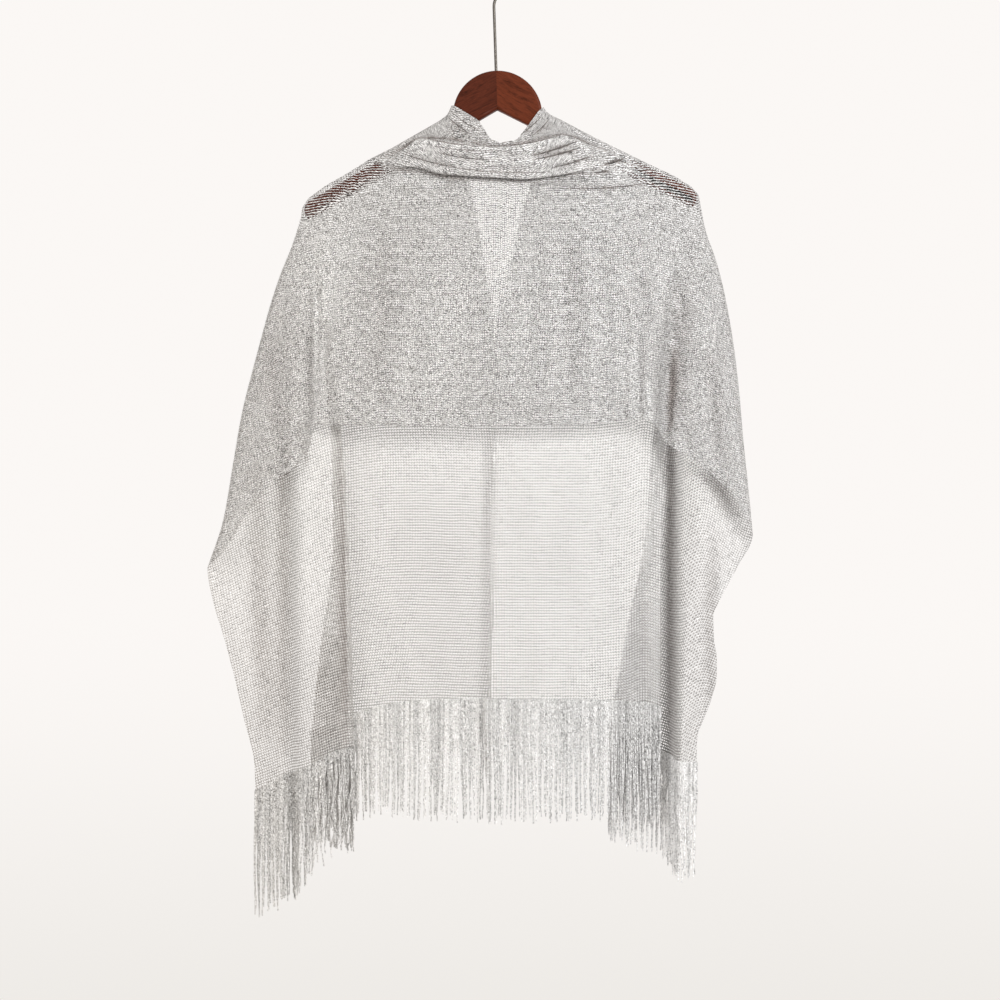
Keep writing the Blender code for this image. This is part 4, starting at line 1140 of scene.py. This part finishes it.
def hanger_outline():
    """Right half of the hanger's outline seen from the front, from the middle of
    the head's top clockwise to the notch under it."""
    slope = sin(ARM_SLOPE) / cos(ARM_SLOPE)
    joint = JOINT / 2
    along = np.array([cos(ARM_SLOPE), -sin(ARM_SLOPE)])
    up = np.array([sin(ARM_SLOPE), cos(ARM_SLOPE)])
    pts = []
    for t in np.linspace(0, HEAD_ARC, 41):
        pts.append((max(joint, HEAD_R * sin(t)), HEAD_Z + HEAD_R * cos(t)))
    # Concave corner between the head and the arm.
    a = np.array(pts[-1])
    corner_x = HEAD_R + HEAD_CORNER
    corner = np.array([corner_x, NOTCH_Z + ARM_DEPTH - slope * corner_x])
    b = corner + CORNER_RUN * along
    for t in np.linspace(0.15, 1.0, 8):
        pts.append(tuple((1 - t) ** 2 * a + 2 * t * (1 - t) * corner + t * t * b))
    # Rounded tip, and the straight top edge before it.
    end = SPAN / 2 - HEEL_R
    low_tip = np.array([end, NOTCH_Z - slope * end])
    back = TIP_R - HEEL_R
    centre = low_tip - along * back + up * (ARM_DEPTH * cos(ARM_SLOPE) - TIP_R)
    for share in (0.25, 0.5, 0.75):
        pts.append(tuple(b + (centre + TIP_R * up - b) * share))
    for t in np.radians(np.linspace(0, 90, 13)):
        pts.append(tuple(centre + TIP_R * (up * cos(t) + along * sin(t))))
    centre = low_tip - along * back + up * HEEL_R
    for t in np.radians(np.linspace(12, 90, 8)):
        pts.append(tuple(centre + along * (back + HEEL_R * cos(t)) - up * HEEL_R * sin(t)))
    for share in (0.75, 0.5, 0.25, 0.08, 0.0):
        x = joint + (low_tip[0] - joint) * share
        pts.append((x, NOTCH_Z - slope * x))
    return pts


def inset(pts, amount):
    """The outline moved inward, its two ends on the joint staying there."""
    p = np.array(pts)
    before, after = np.roll(p, 1, axis=0), np.roll(p, -1, axis=0)
    before[0], after[-1] = p[0], p[-1]
    way = after - before
    inward = np.stack([way[:, 1], -way[:, 0]], axis=1)
    inward /= np.linalg.norm(inward, axis=1, keepdims=True)
    moved = p + inward * amount
    moved[0] = (p[0][0], p[0][1] - amount)
    moved[-1] = (p[-1][0], p[-1][1] + amount)
    return moved


def loft(name, rings):
    """A closed object through rings of points in millimetres, its faces outward."""
    n, last = len(rings[0]), (len(rings) - 1) * len(rings[0])
    faces = [tuple(range(n)), tuple(last + k for k in reversed(range(n)))]
    for k in range(len(rings) - 1):
        for i in range(n):
            a, b = k * n + i, k * n + (i + 1) % n
            faces.append((a, b, b + n, a + n))
    obj = mesh_object(name, np.concatenate(rings) * MM, faces)
    work = bmesh.new()
    work.from_mesh(obj.data)
    bmesh.ops.remove_doubles(work, verts=work.verts[:], dist=1e-6)
    bmesh.ops.recalc_face_normals(work, faces=work.faces[:])
    work.to_mesh(obj.data)
    work.free()
    return obj


def tube(name, path, radius, sides):
    """A round bar along a path that lies in the plane y = 0, in millimetres."""
    p = np.array(path, float)
    way = np.gradient(p, axis=0)
    way /= np.linalg.norm(way, axis=1, keepdims=True)
    side = np.stack([way[:, 2], np.zeros(len(p)), -way[:, 0]], axis=1)
    turns = [2 * pi * k / sides for k in range(sides)]
    rings = [
        [at + radius * (cos(t) * out + sin(t) * np.array([0, 1, 0])) for t in turns]
        for at, out in zip(p, side)
    ]
    return loft(name, rings)


def lean(obj):
    """The hanger leans a little on its hook."""
    obj.data.transform(Matrix.Rotation(-TILT, 4, "Y"))


def make_half(name, mirror):
    """One half of the hanger, its edges rounded and the hook's bore cut."""
    outline = hanger_outline()
    half, r = WOOD_T / 2, WOOD_ROUND
    layers = [(-half, r + FLAT_INSET)]
    for t in np.radians(np.linspace(0, 90, 6)):
        layers.append((-half + r * (1 - cos(t)), r * (1 - sin(t))))
    layers += [(-y, amount) for y, amount in reversed(layers)]
    rings = [[(x * mirror, y, z) for x, z in inset(outline, amount)] for y, amount in layers]
    wood = loft(name, rings)
    bore_path = [(0, 0, SHANK_END - BORE_SPARE), (0, 0, HEAD_Z + HEAD_R + WOOD_T / 2)]
    bore = tube("bore", bore_path, BORE_R, 24)
    cut = wood.modifiers.new("bore", "BOOLEAN")
    cut.operation, cut.object, cut.solver = "DIFFERENCE", bore, "EXACT"
    plain(wood)
    bpy.data.objects.remove(bore)
    lean(wood)
    return wood


def plain(obj):
    """Take the modifiers' result as the object's own mesh."""
    graph = bpy.context.evaluated_depsgraph_get()
    mesh = bpy.data.meshes.new_from_object(obj.evaluated_get(graph))
    obj.modifiers.clear()
    obj.data = mesh
    return obj


def make_hook():
    """The straight shank, the bend over it and the round of the hook."""
    r = HOOK_R + WIRE_R
    path = [(0, 0, z) for z in np.linspace(SHANK_END, SHANK_TOP, 12)]
    start = np.array([0, SHANK_TOP])
    rise = start + np.array([0, BEND_RISE])
    end = np.array([r * cos(BEND_END), -HOOK_R + r * sin(BEND_END)])
    lead = end - BEND_LEAD * np.array([-sin(BEND_END), cos(BEND_END)])
    for t in np.linspace(0.08, 0.92, 12):
        u = (
            (1 - t) ** 3 * start
            + 3 * (1 - t) ** 2 * t * rise
            + 3 * (1 - t) * t * t * lead
            + t**3 * end
        )
        path.append((u[0], 0, u[1]))
    for t in BEND_END + np.linspace(0, HOOK_TURN, 73):
        path.append((r * cos(t), 0, -HOOK_R + r * sin(t)))
    hook = tube("hook_wire", path, WIRE_R, 20)
    lean(hook)
    return hook


# ---------------------------------------------------------------- fringe

STRAND_POINTS = 20
STRAND_SIDES = 5
LENGTHS = (0.93, 1.03)  # shortest and longest strand, of the fringe's length
STRAYS = (-0.1, 0.42)  # how much shorter and longer where the strands are loose
SWAY_SIZE, SWAY_SCALE = (2.0, 0.9, 0.0), 60.0  # how much and how often locks drift
CURL_SIZE, CURL_SCALE = (1.0, 0.7, 0.0), (1400.0, 1400.0, 34.0)  # and one strand waves
LOOSE_CURL = 5.0  # how much more it does where the strands are loose
GATHER = 0.45  # how far a lock has drawn together at its tip
LOCKS_WANDER, LOCKS_SCALE = 4.0, 40.0  # how far the locks' borders shift, in locks
ROOT_THICK, TIP_THICK = 0.5, 0.3  # radius of a strand at both ends, of its thickness


def fringe_tree():
    """Node tree: strands that hang from an edge, swaying together in locks."""
    group = bpy.data.node_groups.new("fringe_strands", "GeometryNodeTree")
    face = group.interface
    face.new_socket("Geometry", in_out="INPUT", socket_type="NodeSocketGeometry")
    for name, kind, value in (
        ("Strands", "NodeSocketInt", 190), ("Thickness", "NodeSocketFloat", 0.0027),
        ("Sway", "NodeSocketFloat", 0.006), ("Lock Width", "NodeSocketFloat", 0.0075),
        ("Curl", "NodeSocketFloat", 0.0012), ("Seed", "NodeSocketInt", 0),
    ):
        face.new_socket(name, in_out="INPUT", socket_type=kind).default_value = value
    face.new_socket("Material", in_out="INPUT", socket_type="NodeSocketMaterial")
    face.new_socket("Geometry", in_out="OUTPUT", socket_type="NodeSocketGeometry")
    t = Tree(group)
    given = t.node("NodeGroupInput").outputs
    seed, width = given["Seed"], given["Lock Width"]

    def chance(low, high, salt):
        """A random value for each strand."""
        put = {2: low, 3: high, "Seed": t.math("ADD", seed, salt)}
        return t.node("FunctionNodeRandomValue", put, data_type="FLOAT").outputs[1]

    def named(name):
        put = {"Name": name}
        return t.node("GeometryNodeInputNamedAttribute", put, data_type="FLOAT").outputs[0]

    def stored(geometry, name, value, domain):
        """The geometry with a value kept in an attribute."""
        put = {"Geometry": geometry, "Name": name, "Value": value}
        kind = "GeometryNodeStoreNamedAttribute"
        return t.node(kind, put, data_type="FLOAT", domain=domain)

    reach, loose, down = named("reach"), named("loose"), named("down")
    # One straight strand of unit length on each root, as long as it reaches there.
    edge = t.node("GeometryNodeMeshToCurve", {"Mesh": given["Geometry"]})
    put = {"Curve": edge, "Count": given["Strands"]}
    roots = t.node("GeometryNodeCurveToPoints", put, mode="COUNT").outputs["Points"]
    line = t.node("GeometryNodeCurvePrimitiveLine", {"End": (0, 0, -1)})
    line = t.node("GeometryNodeResampleCurve", {"Curve": line, "Count": STRAND_POINTS})
    factor = t.node("GeometryNodeSplineParameter").outputs["Factor"]
    strand = stored(line, "down", factor, "POINT")
    stray = t.product(t.math("POWER", loose, 2.0), chance(*STRAYS, 3))
    long = t.product(reach, t.math("ADD", stray, chance(*LENGTHS, 1)))
    put = {"Points": roots, "Instance": strand, "Scale": t.joined(1.0, 1.0, long)}
    hung = t.node("GeometryNodeInstanceOnPoints", put)
    toned = stored(hung, "tone", chance(0.0, 1.0, 2), "INSTANCE")
    strands = t.node("GeometryNodeRealizeInstances", {"Geometry": toned})
    # The locks drift and gather, and each strand waves on its own.
    position = t.node("GeometryNodeInputPosition")
    where = t.parts(position)
    phase = t.math("MULTIPLY_ADD", down, 0.7, t.product(seed, 3.7))
    spot = t.joined(t.product(where[0], SWAY_SCALE), t.product(where[1], SWAY_SCALE), phase)
    pull = t.product(t.math("POWER", down, 1.1), given["Sway"])
    sway = t.scale(t.drift(spot, 1.0, *SWAY_SIZE), pull)
    bend = t.noise(t.joined(where[0], seed), LOCKS_SCALE)
    share = t.math("MULTIPLY_ADD", bend, LOCKS_WANDER, t.math("DIVIDE", where[0], width))
    short = t.math("SUBTRACT", t.math("ADD", t.math("FLOOR", share), 0.5), share)
    lock = t.product(short, t.product(t.span(down, 0.3, 1.0, 0.0, GATHER), width))
    wave = t.drift(t.vector("MULTIPLY", position, CURL_SCALE), 1.0, *CURL_SIZE)
    curl = t.product(
        given["Curl"], t.math("MULTIPLY_ADD", loose, LOOSE_CURL, 1.0),
        t.math("MINIMUM", t.product(down, 3.0), 1.0), 2.0,
    )
    move = t.vector("ADD", t.vector("ADD", sway, t.joined(lock)), t.scale(wave, curl))
    swayed = t.node("GeometryNodeSetPosition", {"Geometry": strands, "Offset": move})
    # The yarn's thickness.
    radius = t.product(t.span(down, 0.15, 1.0, ROOT_THICK, TIP_THICK), given["Thickness"])
    put = {"Resolution": STRAND_SIDES, "Radius": 1.0}
    ring = t.node("GeometryNodeCurvePrimitiveCircle", put, mode="RADIUS")
    put = {"Curve": swayed, "Profile Curve": ring, "Scale": radius, "Fill Caps": True}
    yarn = t.node("GeometryNodeCurveToMesh", put)
    smooth = t.node("GeometryNodeSetShadeSmooth", {"Geometry": yarn})
    real = t.node("GeometryNodeRealizeInstances", {"Geometry": smooth})
    put = {"Geometry": real, "Material": given["Material"]}
    t.node("NodeGroupOutput", {"Geometry": t.node("GeometryNodeSetMaterial", put)})
    return group


def make_fringe(name, edge, run, roots, settings, material, tree, seed):
    """Strands along one end of the cloth."""
    reach, loose, light = columns_of(roots, "share", "length", "loose", "light")
    share = run / run[-1]
    mesh = bpy.data.meshes.new(name)
    lines = [(k, k + 1) for k in range(len(edge) - 1)]
    mesh.from_pydata([tuple(p * MM) for p in edge], lines, [])
    # light is the strands' painted light and shade along the edge.
    store(mesh, reach=reach(share) * MM, loose=loose(share), light=light(share))
    fringe = linked(name, mesh)
    strands = fringe.modifiers.new("strands", "NODES")
    strands.node_group = tree
    inputs = {
        "Strands": settings.strands, "Thickness": settings.thickness, "Sway": settings.sway,
        "Lock Width": settings.lock_width, "Curl": settings.curl, "Seed": seed,
        "Material": material,
    }
    for item in tree.interface.items_tree:
        if item.item_type == "SOCKET" and item.in_out == "INPUT" and item.name in inputs:
            strands[item.identifier] = inputs[item.name]
    return plain(fringe)


# ---------------------------------------------------------------- settings


class StoleSettings(bpy.types.PropertyGroup):
    """The cloth's sizes, its knit and its colours"""

    flat_width: FloatProperty(
        name="Flat Width", description="Width of the cloth laid flat", default=0.5,
        min=0.3, max=0.9, unit="LENGTH",
    )
    flat_length: FloatProperty(
        name="Flat Length", description="Length of the cloth laid flat, without its fringe",
        default=1.54, min=1.0, max=2.4, unit="LENGTH",
    )
    stitch_length: FloatProperty(
        name="Stitch", description="Size of one stitch along the cloth's length",
        default=0.0030, min=0.001, max=0.01, precision=4, unit="LENGTH",
    )
    row_height: FloatProperty(
        name="Row", description="Height of one row of knit",
        default=0.0031, min=0.001, max=0.01, precision=4, unit="LENGTH",
    )
    course_width: FloatProperty(
        name="Course Share", description="Half the share of a row that its yarn covers",
        default=0.24, min=0.02, max=0.5, subtype="FACTOR",
    )
    wale_width: FloatProperty(
        name="Wale Share", description="Half the share of a stitch that its link covers",
        default=0.18, min=0.02, max=0.5, subtype="FACTOR",
    )
    yarn_colour: FloatVectorProperty(
        name="Yarn", description="Colour of the silver yarn", subtype="COLOR",
        default=(0.72, 0.716, 0.708), min=0, max=1,
    )
    shade_colour: FloatVectorProperty(
        name="Core", description="Colour of the darker core yarn", subtype="COLOR",
        default=(0.16, 0.156, 0.152), min=0, max=1,
    )
    yarn_gaps: FloatProperty(
        name="Yarn Gaps", description="Share of a fringe strand that light comes through",
        default=0.34, min=0, max=0.9, subtype="FACTOR",
    )


class FringeSettings(bpy.types.PropertyGroup):
    """The strands of both fringes"""

    strands: IntProperty(
        name="Strands", description="Number of strands on each end", default=190,
        min=20, max=400,
    )
    thickness: FloatProperty(
        name="Thickness", description="Thickness of a strand", default=0.0027,
        min=0.0004, max=0.004, precision=4, unit="LENGTH",
    )
    sway: FloatProperty(
        name="Sway", description="How far a lock of strands drifts at its tip",
        default=0.006, min=0, max=0.04, precision=4, unit="LENGTH",
    )
    lock_width: FloatProperty(
        name="Lock Width", description="Width of the locks that the strands gather in",
        default=0.0075, min=0.004, max=0.1, precision=4, unit="LENGTH",
    )
    curl: FloatProperty(
        name="Curl", description="How far a strand waves on its own",
        default=0.0012, min=0, max=0.01, precision=4, unit="LENGTH",
    )


class HangerSettings(bpy.types.PropertyGroup):
    """The stain of the wooden hanger, with painted light and shade: darker on the left half,
    lighter on the right one
    """

    # Painted light and shade: the two halves have one stain, given darker on the left and
    # lighter on the right because the light comes from the right.
    left_colour: FloatVectorProperty(
        name="Left Wood", description="Stain of the left half", subtype="COLOR",
        default=(0.074, 0.0172, 0.0085), min=0, max=1,
    )
    right_colour: FloatVectorProperty(
        name="Right Wood", description="Stain of the right half", subtype="COLOR",
        default=(0.106, 0.0235, 0.0098), min=0, max=1,
    )


class StageSettings(bpy.types.PropertyGroup):
    """The surroundings and the light"""

    ground_colour: FloatVectorProperty(
        name="Surroundings", description="Colour of the pale surroundings", subtype="COLOR",
        default=(0.965, 0.935, 0.912), min=0, max=1,
    )
    low_colour: FloatVectorProperty(
        name="Low Surroundings", description="Colour of the surroundings near the floor",
        subtype="COLOR", default=(0.84, 0.815, 0.78), min=0, max=1,
    )
    near_light: FloatProperty(
        name="Near Light", description="How much light comes from the near side",
        default=0.35, min=0, max=2, subtype="FACTOR",
    )
    key_power: FloatProperty(
        name="Key Light", description="Power of the soft key light", default=60.0,
        min=0, max=500, unit="POWER",
    )


# ---------------------------------------------------------------- operators


class STOLE_OT_hook(bpy.types.Operator):
    """Make the hook and its shank"""

    bl_idname = "stole.hook"
    bl_label = "Hook"

    def execute(self, context):
        hook = make_hook()
        hook.data.materials.append(steel_material())
        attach(hook, "root")
        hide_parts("hook")
        return {"FINISHED"}


class STOLE_OT_hanger(bpy.types.Operator):
    """Make the two halves of the wooden hanger"""

    bl_idname = "stole.hanger"
    bl_label = "Wooden Hanger"

    def execute(self, context):
        wood = context.scene.stole_hanger
        for side, mirror, colour in (
            ("left", -1, wood.left_colour), ("right", 1, wood.right_colour)
        ):
            half = make_half("walnut_" + side, mirror)
            deep, light = [[k * c for c in colour] for k in (GRAIN_DEEP, GRAIN_LIGHT)]
            half.data.materials.clear()
            half.data.materials.append(
                wood_material("walnut_" + side, deep, light, -mirror * ARM_SLOPE)
            )
            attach(half, "root")
            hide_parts("wood_" + side)
        return {"FINISHED"}


class STOLE_OT_cloth(bpy.types.Operator):
    """Make the stole's cloth and the fringe on both its ends"""

    bl_idname = "stole.cloth"
    bl_label = "Stole and Fringe"

    def execute(self, context):
        settings = context.scene.stole_cloth
        stole, ends = make_stole()
        stole.data.materials.append(knit_material(settings))
        tree = fringe_tree()
        yarn = yarn_material(settings)
        for side, roots, seed in (("left", LEFT_ROOTS, 1), ("right", RIGHT_ROOTS, 2)):
            edge, run = ends[side]
            fringe = make_fringe(
                "fringe_yarn_" + side, edge, run, roots, context.scene.stole_fringe, yarn,
                tree, seed,
            )
            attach(fringe, "root")
            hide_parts("fringe_" + side)
        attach(stole, "root")
        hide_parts("back", "front_left", "front_right")
        return {"FINISHED"}


class STOLE_OT_stage(bpy.types.Operator):
    """Set the camera, the soft light, the surroundings and the floor"""

    bl_idname = "stole.stage"
    bl_label = "Stage"

    def execute(self, context):
        stage = context.scene.stole_stage
        set_surroundings(stage)
        add_floor(stage)
        add_light("key", KEY_AT, KEY_SIZE, stage.key_power)
        add_light("fill", FILL_AT, FILL_SIZE, FILL_SHARE * stage.key_power)
        add_camera()
        return {"FINISHED"}


# The stage, in metres.
KEY_AT, KEY_SIZE = (1.5, -2.2, 0.35), 1.3
FILL_AT, FILL_SIZE, FILL_SHARE = (-1.9, -1.9, -0.2), 1.6, 0.4
LIT_AT = (0, 0, -0.6)  # what the lights point at
CAMERA_AT = (0.0087, -2.2, -0.610)
LENS, SENSOR = 70.7, 36
FLOOR_R, FLOOR_DROP = 1.6, 0.35  # its size, and how far it lies below the part
FLOOR_FADE = (0.3, 1.0)  # how far out it fades away
DOME_LOW = (-0.3, -0.05)  # directions between which the dome turns paler upward
DOME_SIDE = (-0.6, 0.6)  # and from the near side to the far one


def set_surroundings(stage):
    """A pale, even dome, a little darker below, that lights more from the far side
    than from the near one, as a pale wall does."""
    world = bpy.data.worlds.new("pale_surroundings")
    world.use_nodes = True
    bpy.context.scene.world = world
    t = Tree(world.node_tree)
    seen = world.node_tree.nodes["Background"]
    way = t.parts(t.node("ShaderNodeTexCoord").outputs["Generated"])
    low, ground = (*stage.low_colour, 1), (*stage.ground_colour, 1)
    share = t.span(way[2], *DOME_LOW, 0.0, 1.0, smooth=True)
    t.fill(seen, {"Color": t.mix(share, low, ground)})
    strength = t.span(way[1], *DOME_SIDE, stage.near_light, 1.0, smooth=True)
    given = t.node("ShaderNodeBackground", {"Color": ground, "Strength": strength})
    direct = t.node("ShaderNodeLightPath").outputs["Is Camera Ray"]
    both = t.node("ShaderNodeMixShader", {0: direct, 1: given, 2: seen})
    t.feed(world.node_tree.nodes["World Output"].inputs["Surface"], both)
    bpy.context.scene.view_settings.view_transform = "Standard"


def add_floor(stage):
    """A round pale floor that fades out into the surroundings."""
    work = bmesh.new()
    bmesh.ops.create_circle(work, cap_ends=True, segments=96, radius=FLOOR_R)
    mesh = bpy.data.meshes.new("floor")
    work.to_mesh(mesh)
    work.free()
    mesh.transform(Matrix.Translation((0, 0, CAD_BOX[0].z - FLOOR_DROP)))
    material, t, bsdf = new_material("pale_floor")
    out = t.vector("LENGTH", t.vector("MULTIPLY", t.place(), (1, 1, 0)))
    t.fill(bsdf, {
        "Base Color": (*stage.ground_colour, 1),
        "Roughness": 0.9,
        "Alpha": t.span(out, *FLOOR_FADE, 1.0, 0.0, smooth=True),
    })
    mesh.materials.append(material)
    linked("floor", mesh)


def add_light(name, place, size, power):
    """A soft round light that points at the part."""
    light = bpy.data.lights.new(name, "AREA")
    light.shape, light.size, light.energy = "DISK", size, power
    obj = linked(name, light)
    obj.location = place
    obj.rotation_euler = (Vector(LIT_AT) - obj.location).to_track_quat("-Z", "Y").to_euler()
    obj.visible_camera = False


def add_camera():
    """The camera, straight in front of the near side."""
    camera = bpy.data.cameras.new("camera")
    camera.lens, camera.sensor_width = LENS, SENSOR
    obj = linked("camera", camera)
    obj.location = CAMERA_AT
    obj.rotation_euler = (radians(90), 0, 0)
    bpy.context.scene.camera = obj


class STOLE_PT_panel(bpy.types.Panel):
    """Every piece with its settings, in the sidebar"""

    bl_label = "Stole"
    bl_idname = "STOLE_PT_panel"
    bl_space_type = "VIEW_3D"
    bl_region_type = "UI"
    bl_category = "Stole"

    def draw(self, context):
        for name, operator in PARTS:
            box = self.layout.box()
            box.operator(operator)
            group = getattr(context.scene, name, None)
            for key in type(group).__annotations__ if group else ():
                box.prop(group, key)


# Settings on the scene and the operator that each goes with.
PARTS = (
    ("stole_hook", "stole.hook"),
    ("stole_hanger", "stole.hanger"),
    ("stole_cloth", "stole.cloth"),
    ("stole_fringe", "stole.cloth"),
    ("stole_stage", "stole.stage"),
)
GROUPS = {
    "stole_hanger": HangerSettings,
    "stole_cloth": StoleSettings,
    "stole_fringe": FringeSettings,
    "stole_stage": StageSettings,
}
CLASSES = (
    *GROUPS.values(), STOLE_OT_hook, STOLE_OT_hanger, STOLE_OT_cloth, STOLE_OT_stage,
    STOLE_PT_panel,
)


def register():
    for cls in CLASSES:
        bpy.utils.register_class(cls)
    for name, cls in GROUPS.items():
        setattr(bpy.types.Scene, name, PointerProperty(type=cls))


def unregister():
    for name in GROUPS:
        delattr(bpy.types.Scene, name)
    for cls in reversed(CLASSES):
        bpy.utils.unregister_class(cls)


def main():
    """Build everything with the operators."""
    register()
    bpy.ops.stole.hook()
    bpy.ops.stole.hanger()
    bpy.ops.stole.cloth()
    bpy.ops.stole.stage()


if __name__ == "__main__":
    main()
